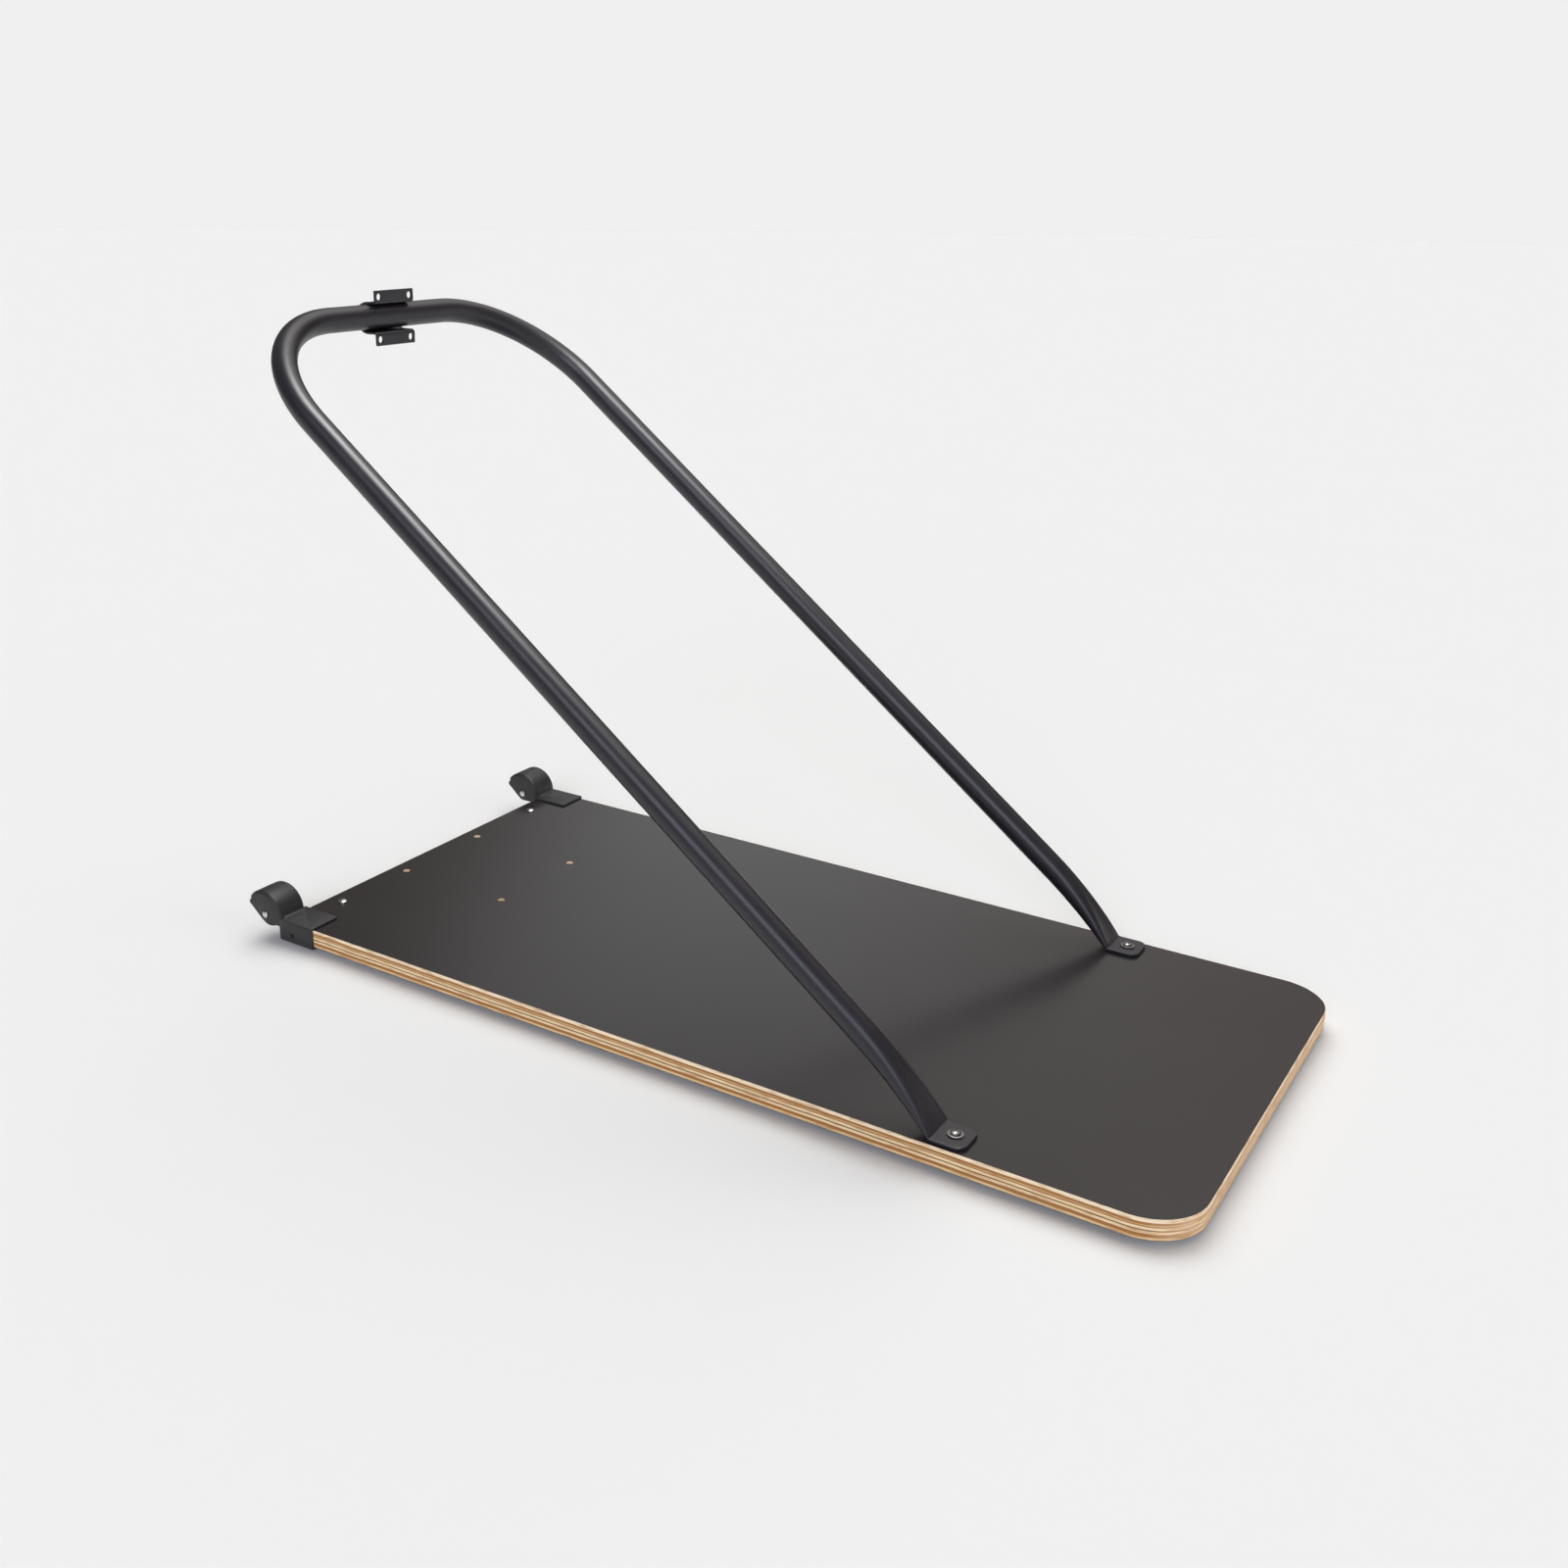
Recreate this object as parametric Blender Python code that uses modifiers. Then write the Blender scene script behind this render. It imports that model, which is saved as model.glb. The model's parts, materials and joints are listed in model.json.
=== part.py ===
"""Floor stand for an upright pulling trainer.

A plywood deck on rubber feet carries a bent tube that leans over one end of the deck.  The trainer stands on
that end, held by four bolts in the deck and by a strap bracket on the tube's crossbar.  Two wheels in corner
housings meet the floor when the stand is tipped up by its other end.

Axes: +X to the right of a user who faces the bracket, +Y towards the wheel end, +Z up.  The origin lies on the
floor, under the middle of the whole stand.
"""
import math

import bmesh
import bpy
from mathutils import Matrix, Vector

# Sizes in metres, angles in degrees.
FIT = 0.0003
MERGE = 0.00001

BOARD_LENGTH = 1.230
BOARD_WIDTH = 0.598
BOARD_THICKNESS = 0.0245
BOARD_CORNER_RADIUS = 0.065
BOARD_ARRIS = 0.0012

FOOT_HEIGHT = 0.0065
FOOT_RADIUS = 0.018
FOOT_DRAFT = 0.0012
FOOT_RECESS_RADIUS = 0.0072
FOOT_RECESS_DEPTH = 0.0042
FOOT_SIDE_INSET = 0.050
FOOT_USER_SETBACK = 0.075
FOOT_MIDDLE_SETBACK = 0.640
FOOT_SCREW_RADIUS = 0.0021
FOOT_SCREW_HEAD_RADIUS = 0.0045
FOOT_SCREW_HEAD_HEIGHT = 0.0026
FOOT_SCREW_BITE = 0.014
FOOT_BOLT_INSET = 0.0898
FOOT_BOLT_SETBACK = 0.0250
FOOT_NUT_HALF_FLATS = 0.0050
FOOT_NUT_HEIGHT = 0.0036

BOLT_RADIUS = 0.0030
BOLT_HEAD_RADIUS = 0.0060
BOLT_HEAD_HEIGHT = 0.0033
BOLT_HEAD_RIM = 0.0011
BOLT_RECESS_RADIUS = 0.0022
BOLT_RECESS_DEPTH = 0.0012

TUBE_RADIUS = 0.01588
LEG_INSET = 0.0282
CROSSBAR_RISE = 0.766
CROSSBAR_OVERHANG = 0.0324
CROSSBAR_BEND_RADIUS = 0.165
LOWER_BEND_RADIUS = 0.550
LOWER_BEND_TURN = 13.0
FOLD_SETBACK = 0.2775
FOLD_RADIUS = 0.006
CRUSH_LENGTH = 0.145
TAB_WIDTH = 0.0476
TAB_LENGTH = 0.039
TAB_THICKNESS = 0.004
TAB_CORNER_RADIUS = 0.012
TAB_BOLT_FROM_FOLD = 0.020
TAB_WASHER_RADIUS = 0.009
TAB_WASHER_THICKNESS = 0.0015
STANDING_FROM_FOLD = 0.0635

STRAP_THICKNESS = 0.003
STRAP_BEND_RADIUS = 0.003
STRAP_DROP = 0.00125
EAR_PROUD = 0.0005
EAR_HOLE_RADIUS = 0.0046
EAR_HOLE_HALF_SPACING = 0.029
EAR_HOLE_LIFT = 0.00657
EAR_SIDE_MARGIN = 0.0075
EAR_END_MARGIN = 0.008

MACHINE_HOLE_RADIUS = 0.005
MACHINE_HOLE_HALF_SPACING = 0.079
MACHINE_HOLE_SETBACK = 0.0247
MACHINE_HOLE_ROW_PITCH = 0.1765
TEE_NUT_FLANGE_RADIUS = 0.011
TEE_NUT_FLANGE_THICKNESS = 0.0015
TEE_NUT_BARREL_LENGTH = 0.012
TEE_NUT_WALL = 0.0012

HOUSING_WALL = 0.003
HOUSING_PLATE_WIDTH = 0.050
HOUSING_PLATE_LENGTH = 0.0613
HOUSING_EDGE_RADIUS = 0.0015
HOOD_RADIUS = 0.0328
HOOD_WIDTH = 0.0453
HOOD_EDGE_RADIUS = 0.005
HOOD_FOOT_RADIUS = 0.004
HOOD_LEAD = 0.0034
HOOD_LIP_ANGLE = 38.0
CHEEK_BOSS_RADIUS = 0.011
CHEEK_NOSE_REACH = 0.0295
CHEEK_NOSE_RISE = 0.0125
CHEEK_NOSE_RADIUS = 0.0037
CHEEK_NOSE_TOP_ANGLE = 70.0
CHEEK_NOSE_FOOT_ANGLE = -60.0
HOUSING_SCREW_RADIUS = 0.0018
HOUSING_SCREW_HEAD_RADIUS = 0.0036
HOUSING_SCREW_HEAD_HEIGHT = 0.0022
HOUSING_SCREW_BITE = 0.016
SIDE_SCREW_SETBACK = 0.021
SIDE_SCREW_DEPTH = 0.017
BASE_SCREW_SETBACK = 0.031
BASE_SCREW_INSET = 0.024

AXLE_OVERHANG = 0.0280
AXLE_RISE = 0.0025
AXLE_RADIUS = 0.0030
AXLE_HEAD_RADIUS = 0.0047
AXLE_HEAD_HEIGHT = 0.0022
AXLE_HEAD_RIM = 0.0008
AXLE_TAIL = 0.0016
AXLE_CAP_WALL = 0.0010
WHEEL_RADIUS = 0.0195
WHEEL_WIDTH = 0.0210
WHEEL_SIDE_GAP = 0.0025
TYRE_THICKNESS = 0.0055
TYRE_SHOULDER = 0.0030
WHEEL_HUB_RADIUS = 0.0070
WHEEL_DISH = 0.0035
SPACER_RADIUS = 0.0055

# Steps round the curved pieces.
BOLT_STEPS = 12
DOME_STEPS = 2
HOLE_STEPS = 16
EAR_HOLE_STEPS = 20
DISC_STEPS = 20
WHEEL_STEPS = 24
TUBE_STEPS = 24
HOOD_STEPS = 40
RIM_STEPS = 14
BEND_STEPS = 12
CORNER_STEPS = 10
TAB_CORNER_STEPS = 4
FOLD_STEPS = 3
NOSE_STEPS = 6
EDGE_STEPS = 4

# Places that follow from the sizes above.
DECK_BOTTOM = FOOT_HEIGHT + FIT
DECK_TOP = DECK_BOTTOM + BOARD_THICKNESS
SIDE_EDGE = BOARD_WIDTH / 2
LIP_REACH = HOOD_LEAD + HOOD_RADIUS * math.cos(math.radians(HOOD_LIP_ANGLE))
HOUSING_REACH = AXLE_OVERHANG + max(CHEEK_NOSE_REACH, LIP_REACH)
BOARD_Y = -HOUSING_REACH / 2
WHEEL_END = BOARD_Y + BOARD_LENGTH / 2
USER_END = BOARD_Y - BOARD_LENGTH / 2
LEG_X = SIDE_EDGE - LEG_INSET
CROSSBAR_Y = WHEEL_END + CROSSBAR_OVERHANG
CROSSBAR_Z = DECK_TOP + CROSSBAR_RISE
TAB_BOTTOM = DECK_TOP + FIT
TAB_TOP = TAB_BOTTOM + TAB_THICKNESS
FOLD_Y = USER_END + FOLD_SETBACK
TAB_BOLT_Y = FOLD_Y - TAB_BOLT_FROM_FOLD
BOLT_HOLE_RADIUS = BOLT_RADIUS + FIT
TAB_NUT_RADIUS = BOLT_HOLE_RADIUS + TEE_NUT_WALL
STRAP_Z = CROSSBAR_Z - STRAP_DROP
STRAP_BORE = TUBE_RADIUS + STRAP_DROP + FIT
STRAP_WIDTH = 2 * (EAR_HOLE_HALF_SPACING + EAR_SIDE_MARGIN)
EAR_HOLE_RISE = STRAP_BORE + STRAP_THICKNESS + EAR_HOLE_LIFT
EAR_HALF_HEIGHT = EAR_HOLE_RISE + EAR_END_MARGIN
MACHINE_FRONT_Y = WHEEL_END - MACHINE_HOLE_SETBACK
MACHINE_REAR_Y = MACHINE_FRONT_Y - MACHINE_HOLE_ROW_PITCH
STANDING_AREA = (FOLD_Y + STANDING_FROM_FOLD, MACHINE_REAR_Y - MACHINE_HOLE_SETBACK)
MACHINE_PAD = (MACHINE_REAR_Y + MACHINE_HOLE_SETBACK, MACHINE_FRONT_Y - 2 * MACHINE_HOLE_SETBACK)
HOUSING_OUTSIDE = SIDE_EDGE + FIT + HOUSING_WALL
HOUSING_END = WHEEL_END + FIT + HOUSING_WALL
HOUSING_TOP = DECK_TOP + FIT + HOUSING_WALL
HOUSING_BOTTOM = DECK_BOTTOM - FIT - HOUSING_WALL
HOOD_INSIDE = HOUSING_OUTSIDE - HOOD_WIDTH
AXLE_Y = WHEEL_END + AXLE_OVERHANG
AXLE_Z = DECK_TOP + AXLE_RISE
WHEEL_OUTSIDE = HOUSING_OUTSIDE - HOUSING_WALL - WHEEL_SIDE_GAP
WHEEL_INSIDE = WHEEL_OUTSIDE - WHEEL_WIDTH

# Finishes: colour, roughness, metallic.
BLACK_FILM = ((0.075, 0.070, 0.072), 0.60, 0.0)
BLACK_POWDER_COAT = ((0.030, 0.030, 0.033), 0.38, 0.0)
BLACK_MOULDING = ((0.018, 0.018, 0.019), 0.45, 0.0)
BLACK_RUBBER = ((0.020, 0.020, 0.020), 0.80, 0.0)
GREY_NYLON = ((0.120, 0.120, 0.125), 0.50, 0.0)
BRIGHT_ZINC = ((0.720, 0.720, 0.700), 0.28, 1.0)
BLACK_ZINC = ((0.035, 0.035, 0.037), 0.42, 1.0)

SIDES = (("left", -1), ("right", 1))

for old in list(bpy.data.objects):
    bpy.data.objects.remove(old, do_unlink=True)
stand = bpy.data.collections.new("trainer_floor_stand")
cutters = bpy.data.collections.new("cutters")
bpy.context.scene.collection.children.link(stand)
bpy.context.scene.collection.children.link(cutters)


def finished(obj, finish):
    """Adds a piece to the stand with a material of its own."""
    colour, roughness, metallic = finish
    material = bpy.data.materials.new(obj.name)
    material.use_nodes = True
    shader = material.node_tree.nodes["Principled BSDF"]
    shader.inputs["Base Color"].default_value = (*colour, 1.0)
    shader.inputs["Roughness"].default_value = roughness
    shader.inputs["Metallic"].default_value = metallic
    obj.data.materials.append(material)
    stand.objects.link(obj)
    return obj


def guide(obj):
    """Keeps a cutter, or half of a union, out of the stand."""
    obj.hide_render = True
    obj.display_type = "WIRE"
    cutters.objects.link(obj)
    return obj


def solid(name, bm, location=(0, 0, 0)):
    bmesh.ops.recalc_face_normals(bm, faces=bm.faces)
    mesh = bpy.data.meshes.new(name)
    bm.to_mesh(mesh)
    bm.free()
    obj = bpy.data.objects.new(name, mesh)
    obj.location = location
    return obj


def boolean(obj, other, operation="DIFFERENCE"):
    modifier = obj.modifiers.new(other.name, "BOOLEAN")
    modifier.operation = operation
    modifier.object = other


def round_edges(obj, width, segments):
    modifier = obj.modifiers.new("Round edges", "BEVEL")
    modifier.width = width
    modifier.segments = segments
    modifier.limit_method = "ANGLE"


def block(name, low, high):
    """A box between two corners."""
    size = Vector(high) - Vector(low)
    bm = bmesh.new()
    bmesh.ops.create_cube(bm, size=1)
    bmesh.ops.scale(bm, vec=size, verts=bm.verts)
    return solid(name, bm, Vector(low) + size / 2)


def drill(name, holes, steps=HOLE_STEPS):
    """One cutter of straight holes, each from a start to an end with a radius."""
    bm = bmesh.new()
    for start, end, radius in holes:
        run = Vector(end) - Vector(start)
        turn = run.to_track_quat("Z", "Y").to_matrix().to_4x4()
        place = Matrix.Translation(Vector(start) + run / 2) @ turn
        bmesh.ops.create_cone(bm, cap_ends=True, segments=steps, radius1=radius, radius2=radius,
                              depth=run.length, matrix=place)
    return guide(solid(name, bm))


def turned(name, profile, steps):
    """A solid of revolution about Z from (radius, height) points that run down its outside.

    A profile that leaves the axis alone is closed along its bore.
    """
    bm = bmesh.new()
    points = [bm.verts.new((radius, 0, height)) for radius, height in profile]
    pairs = list(zip(points, points[1:]))
    if profile[0][0] > 0:
        pairs.append((points[-1], points[0]))
    for pair in pairs:
        bm.edges.new(pair)
    mesh = bpy.data.meshes.new(name)
    bm.to_mesh(mesh)
    bm.free()
    obj = bpy.data.objects.new(name, mesh)
    screw = obj.modifiers.new("Turn", "SCREW")
    screw.steps = steps
    screw.render_steps = steps
    screw.use_merge_vertices = True
    screw.merge_threshold = MERGE
    return obj


def arc(centre, radius, start, end, count):
    """Points on a circle between two angles in degrees."""
    points = []
    for i in range(count + 1):
        angle = math.radians(start + (end - start) * i / count)
        points.append((centre[0] + radius * math.cos(angle), centre[1] + radius * math.sin(angle)))
    return points


def dome(radius, rim, crown):
    """Profile points of a round head, from its crown on the axis down to its rim."""
    rise = crown - rim
    sphere = (radius * radius + rise * rise) / (2 * rise)
    half = math.degrees(math.asin(radius / sphere))
    points = arc((0, crown - sphere), sphere, 90, 90 - half, DOME_STEPS)
    return [(0, crown)] + points[1:]


def side_plate(name, outline, inner, outer, side):
    """A plate across X between two distances from the middle, from a (y, z) outline."""
    curve = bpy.data.curves.new(name, "CURVE")
    curve.dimensions = "2D"
    curve.fill_mode = "BOTH"
    curve.extrude = (outer - inner) / 2
    spline = curve.splines.new("POLY")
    spline.points.add(len(outline) - 1)
    for point, (y, z) in zip(spline.points, outline):
        point.co = (y, z, 0, 1)
    spline.use_cyclic_u = True
    flat = bpy.data.objects.new(name, curve)
    middle = side * (inner + outer) / 2
    flat.matrix_world = Matrix(((0, 0, 1, middle), (1, 0, 0, 0), (0, 1, 0, 0), (0, 0, 0, 1)))
    cutters.objects.link(flat)
    depsgraph = bpy.context.evaluated_depsgraph_get()
    mesh = bpy.data.meshes.new_from_object(flat.evaluated_get(depsgraph))
    bm = bmesh.new()
    bm.from_mesh(mesh)
    bmesh.ops.remove_doubles(bm, verts=bm.verts, dist=MERGE)
    bmesh.ops.recalc_face_normals(bm, faces=bm.faces)
    bm.to_mesh(mesh)
    bm.free()
    plate = bpy.data.objects.new(name, mesh)
    plate.matrix_world = flat.matrix_world
    bpy.data.objects.remove(flat, do_unlink=True)
    return guide(plate)


def make_bolt(name, location, grip):
    """A button-head bolt with a round drive recess; the underside of its head is at the location."""
    crown = BOLT_HEAD_HEIGHT
    bolt = turned(name, [(0, crown - BOLT_RECESS_DEPTH),
                         (BOLT_RECESS_RADIUS, crown - BOLT_RECESS_DEPTH / 2),
                         (BOLT_RECESS_RADIUS, crown)]
                  + dome(BOLT_HEAD_RADIUS, BOLT_HEAD_RIM, crown)[1:]
                  + [(BOLT_HEAD_RADIUS, 0), (BOLT_RADIUS, 0), (BOLT_RADIUS, -grip), (0, -grip)], BOLT_STEPS)
    bolt.location = location
    return finished(bolt, BRIGHT_ZINC)


def make_tee_nut(name, x, y, barrel_radius, bore_radius):
    """A flanged nut pressed into the underside of the deck."""
    foot = -TEE_NUT_FLANGE_THICKNESS
    nut = turned(name, [(barrel_radius, TEE_NUT_BARREL_LENGTH), (barrel_radius, 0),
                        (TEE_NUT_FLANGE_RADIUS, 0), (TEE_NUT_FLANGE_RADIUS, foot),
                        (bore_radius, foot), (bore_radius, TEE_NUT_BARREL_LENGTH)], BOLT_STEPS)
    nut.location = (x, y, DECK_BOTTOM - FIT)
    return finished(nut, BRIGHT_ZINC)


def make_housing_screw(name, location, rotation):
    """A countersunk wood screw, its head flush with a housing's wall; returns the cutter of its seat."""
    length = HOUSING_WALL + HOUSING_SCREW_BITE
    neck = -HOUSING_SCREW_HEAD_HEIGHT
    screw = turned(name, [(0, 0), (HOUSING_SCREW_HEAD_RADIUS, 0), (HOUSING_SCREW_RADIUS, neck),
                          (HOUSING_SCREW_RADIUS, HOUSING_SCREW_RADIUS - length), (0, -length)], BOLT_STEPS)
    head_hole = HOUSING_SCREW_HEAD_RADIUS + FIT
    shank_hole = HOUSING_SCREW_RADIUS + FIT
    seat = turned("seat_of_" + name, [(0, HOUSING_WALL), (head_hole, HOUSING_WALL), (head_hole, 0),
                                      (shank_hole, neck), (shank_hole, -length), (0, -length)], BOLT_STEPS)
    for piece in (screw, seat):
        piece.location = location
        piece.rotation_euler = rotation
    finished(screw, BLACK_ZINC)
    return guide(seat)


# Deck: a plywood sheet with two rounded corners at the user's end and a small arris all round.
# The area to stand on and the pad for the trainer's foot are faces of their own.
def make_deck(holes):
    bm = bmesh.new()
    bmesh.ops.create_cube(bm, size=1)
    bmesh.ops.scale(bm, vec=(BOARD_WIDTH, BOARD_LENGTH, BOARD_THICKNESS), verts=bm.verts)
    corners = [edge for edge in bm.edges
               if all(vert.co.y < 0 for vert in edge.verts) and edge.verts[0].co.x == edge.verts[1].co.x]
    bmesh.ops.bevel(bm, geom=corners, offset=BOARD_CORNER_RADIUS, segments=CORNER_STEPS, profile=0.5,
                    affect="EDGES")
    for y in STANDING_AREA + MACHINE_PAD:
        bmesh.ops.bisect_plane(bm, geom=bm.verts[:] + bm.edges[:] + bm.faces[:],
                               plane_co=(0, y - BOARD_Y, 0), plane_no=(0, 1, 0))
    deck = finished(solid("deck_board", bm, (0, BOARD_Y, DECK_BOTTOM + BOARD_THICKNESS / 2)), BLACK_FILM)
    round_edges(deck, BOARD_ARRIS, 1)
    boolean(deck, drill("deck_holes", holes))


# Tube: tabs folded flat on the deck, crushed ends that open into round legs, and a U-bend at the wheel end.
def tube_stations():
    """Half of the tube, from the right tab's end to mid crossbar.

    Each station holds a centre, the directions of its width and height, and half of each.
    """
    turn = math.radians(LOWER_BEND_TURN)
    tab_z = (TAB_BOTTOM + TAB_TOP) / 2
    run = Vector((0, CROSSBAR_Y - FOLD_Y, CROSSBAR_Z - tab_z))
    offset = LOWER_BEND_RADIUS * (1 - math.cos(turn))
    leg_angle = math.atan2(run.z, run.y) - math.asin(offset / run.length)
    fold_angle = leg_angle + turn
    across = Vector((1, 0, 0))
    flat = TAB_THICKNESS / 2
    stations = []

    def add(y, z, angle, half_width, half_height):
        normal = Vector((0, -math.sin(angle), math.cos(angle)))
        stations.append((Vector((LEG_X, y, z)), across, normal, half_width, half_height))

    tab_end = FOLD_Y - TAB_LENGTH
    for i in range(TAB_CORNER_STEPS, -1, -1):
        corner = math.pi / 2 * i / TAB_CORNER_STEPS
        inset = TAB_CORNER_RADIUS * (1 - math.sin(corner))
        narrow = TAB_CORNER_RADIUS * (1 - math.cos(corner))
        add(tab_end + inset, tab_z, 0, TAB_WIDTH / 2 - narrow, flat)

    tangent = FOLD_RADIUS * math.tan(fold_angle / 2)
    for i in range(FOLD_STEPS + 1):
        angle = fold_angle * i / FOLD_STEPS
        add(FOLD_Y - tangent + FOLD_RADIUS * math.sin(angle), tab_z + FOLD_RADIUS * (1 - math.cos(angle)),
            angle, TAB_WIDTH / 2, flat)

    up = Vector((0, math.cos(leg_angle), math.sin(leg_angle)))
    bend_length = LOWER_BEND_RADIUS * turn
    for i in range(1, BEND_STEPS + 1):
        reach = max(CRUSH_LENGTH, bend_length) * i / BEND_STEPS
        bent = min(reach, bend_length)
        angle = fold_angle - bent / LOWER_BEND_RADIUS
        opening = 1 - (1 - min(1, reach / CRUSH_LENGTH)) ** 2
        add(FOLD_Y + LOWER_BEND_RADIUS * (math.sin(fold_angle) - math.sin(angle)) + up.y * (reach - bent),
            tab_z + LOWER_BEND_RADIUS * (math.cos(angle) - math.cos(fold_angle)) + up.z * (reach - bent), angle,
            TAB_WIDTH / 2 + (TUBE_RADIUS - TAB_WIDTH / 2) * opening, flat + (TUBE_RADIUS - flat) * opening)

    normal = Vector((0, -math.sin(leg_angle), math.cos(leg_angle)))
    middle = Vector((LEG_X - CROSSBAR_BEND_RADIUS, CROSSBAR_Y, CROSSBAR_Z)) - up * CROSSBAR_BEND_RADIUS
    for i in range(BEND_STEPS + 1):
        angle = math.pi / 2 * i / BEND_STEPS
        out = across * math.cos(angle) + up * math.sin(angle)
        stations.append((middle + out * CROSSBAR_BEND_RADIUS, out, normal, TUBE_RADIUS, TUBE_RADIUS))
    stations.append((Vector((0, CROSSBAR_Y, CROSSBAR_Z)), up, normal, TUBE_RADIUS, TUBE_RADIUS))
    return stations


def make_tube():
    half = tube_stations()
    mirror = Matrix.Scale(-1, 3, Vector((1, 0, 0)))
    other = [(mirror @ centre, mirror @ side, normal, wide, high) for centre, side, normal, wide, high in half]
    bm = bmesh.new()
    rings = []
    for centre, side, normal, half_width, half_height in half + other[-2::-1]:
        ring = []
        for i in range(TUBE_STEPS):
            angle = 2 * math.pi * (i + 0.5) / TUBE_STEPS
            flat = math.copysign(half_width - half_height, math.cos(angle))
            reach = half_height * math.cos(angle) + flat
            ring.append(bm.verts.new(centre + side * reach + normal * half_height * math.sin(angle)))
        rings.append(ring)
    for ring, following in zip(rings, rings[1:]):
        for i in range(TUBE_STEPS):
            j = (i + 1) % TUBE_STEPS
            bm.faces.new((ring[i], ring[j], following[j], following[i]))
    bm.faces.new(rings[0])
    bm.faces.new(rings[-1])
    tube = finished(solid("support_tube", bm), BLACK_POWDER_COAT)
    holes = []
    for _, sign in SIDES:
        x = sign * LEG_X
        holes.append(((x, TAB_BOLT_Y, DECK_TOP), (x, TAB_BOLT_Y, TAB_TOP + TAB_THICKNESS), BOLT_HOLE_RADIUS))
    boolean(tube, drill("tab_holes", holes))
    tube.data.shade_smooth()


# Bracket: a steel strap bent round the back of the crossbar, its ends turned out into two drilled ears.
def make_bracket():
    half = STRAP_BORE + STRAP_THICKNESS / 2
    ear_y = STRAP_THICKNESS / 2 - TUBE_RADIUS - EAR_PROUD
    bend = STRAP_BEND_RADIUS + STRAP_THICKNESS / 2
    upper = [(ear_y, EAR_HALF_HEIGHT)]
    upper += arc((ear_y + bend, half + bend), bend, 180, 270, EDGE_STEPS)
    path = upper + arc((0, 0), half, 90, -90, BEND_STEPS) + [(y, -z) for y, z in reversed(upper)]
    bm = bmesh.new()
    points = [bm.verts.new((-STRAP_WIDTH / 2, y, z)) for y, z in path]
    edges = [bm.edges.new(pair) for pair in zip(points, points[1:])]
    swept = bmesh.ops.extrude_edge_only(bm, edges=edges)["geom"]
    moved = [item for item in swept if isinstance(item, bmesh.types.BMVert)]
    bmesh.ops.translate(bm, verts=moved, vec=(STRAP_WIDTH, 0, 0))
    bracket = finished(solid("machine_bracket", bm, (0, CROSSBAR_Y, STRAP_Z)), BLACK_POWDER_COAT)
    wall = bracket.modifiers.new("Strap thickness", "SOLIDIFY")
    wall.thickness = STRAP_THICKNESS
    wall.offset = 0
    wall.use_even_offset = True
    holes = []
    front = CROSSBAR_Y + ear_y
    for x in (-EAR_HOLE_HALF_SPACING, EAR_HOLE_HALF_SPACING):
        for z in (STRAP_Z - EAR_HOLE_RISE, STRAP_Z + EAR_HOLE_RISE):
            holes.append(((x, front - STRAP_THICKNESS, z), (x, front + STRAP_THICKNESS, z), EAR_HOLE_RADIUS))
    boolean(bracket, drill("ear_holes", holes, EAR_HOLE_STEPS))


# Wheel housings: corner caps that wrap the deck's end, each with a hood over its wheel.
def about_axle(points):
    return [(AXLE_Y + y, AXLE_Z + z) for y, z in points]


def cheek_outline():
    """The hood's side view: rear wall, rim over the wheel, notch, nose, and boss for the axle."""
    lip = Vector(arc((HOOD_LEAD, 0), HOOD_RADIUS, HOOD_LIP_ANGLE, HOOD_LIP_ANGLE, 1)[0])
    nose = (CHEEK_NOSE_REACH - CHEEK_NOSE_RADIUS, CHEEK_NOSE_RISE)
    rear = -AXLE_OVERHANG + FIT + HOUSING_WALL / 2
    points = arc((HOOD_LEAD, 0), HOOD_RADIUS + HOUSING_WALL, 180, HOOD_LIP_ANGLE, RIM_STEPS)
    points.append((lip.x - HOUSING_WALL, lip.y - HOUSING_WALL / 2))
    points += arc(nose, CHEEK_NOSE_RADIUS, CHEEK_NOSE_TOP_ANGLE, CHEEK_NOSE_FOOT_ANGLE, NOSE_STEPS)
    last = Vector(points[-1])
    swing = math.acos(CHEEK_BOSS_RADIUS / last.length)
    boss_start = math.degrees(math.atan2(last.y, last.x) - swing)
    points += arc((0, 0), CHEEK_BOSS_RADIUS, boss_start, -90, EDGE_STEPS)
    points.append((rear, -CHEEK_BOSS_RADIUS))
    points.append((rear, 0))
    return about_axle(points)


def chamber_outline():
    """The space inside the hood: its inner rim, then out under the lip and down past the cheeks."""
    inner = HOOD_RADIUS - HOUSING_WALL
    outer = HOOD_RADIUS + 2 * HOUSING_WALL
    points = arc((HOOD_LEAD, 0), inner, 180, HOOD_LIP_ANGLE, RIM_STEPS)
    points += arc((HOOD_LEAD, 0), outer, HOOD_LIP_ANGLE, 0, EDGE_STEPS)
    points.append((HOOD_LEAD + outer, -inner))
    points.append((HOOD_LEAD - inner, -inner))
    return about_axle(points)


def hood_foot_outline():
    """The fillet between the back of the hood and the top of the corner cap."""
    rise = HOUSING_TOP - AXLE_Z + HOOD_FOOT_RADIUS
    back = math.sqrt((HOOD_RADIUS + HOOD_FOOT_RADIUS) ** 2 - rise * rise)
    start = -math.degrees(math.atan2(rise, back))
    points = arc((HOOD_LEAD - back, rise), HOOD_FOOT_RADIUS, start, -90, EDGE_STEPS)
    low = HOUSING_TOP - AXLE_Z - HOUSING_WALL / 2
    within = HOOD_LEAD - HOOD_RADIUS + HOUSING_WALL / 2
    points += [(HOOD_LEAD - back, low), (within, low), (within, points[0][1])]
    return about_axle(points)


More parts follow.
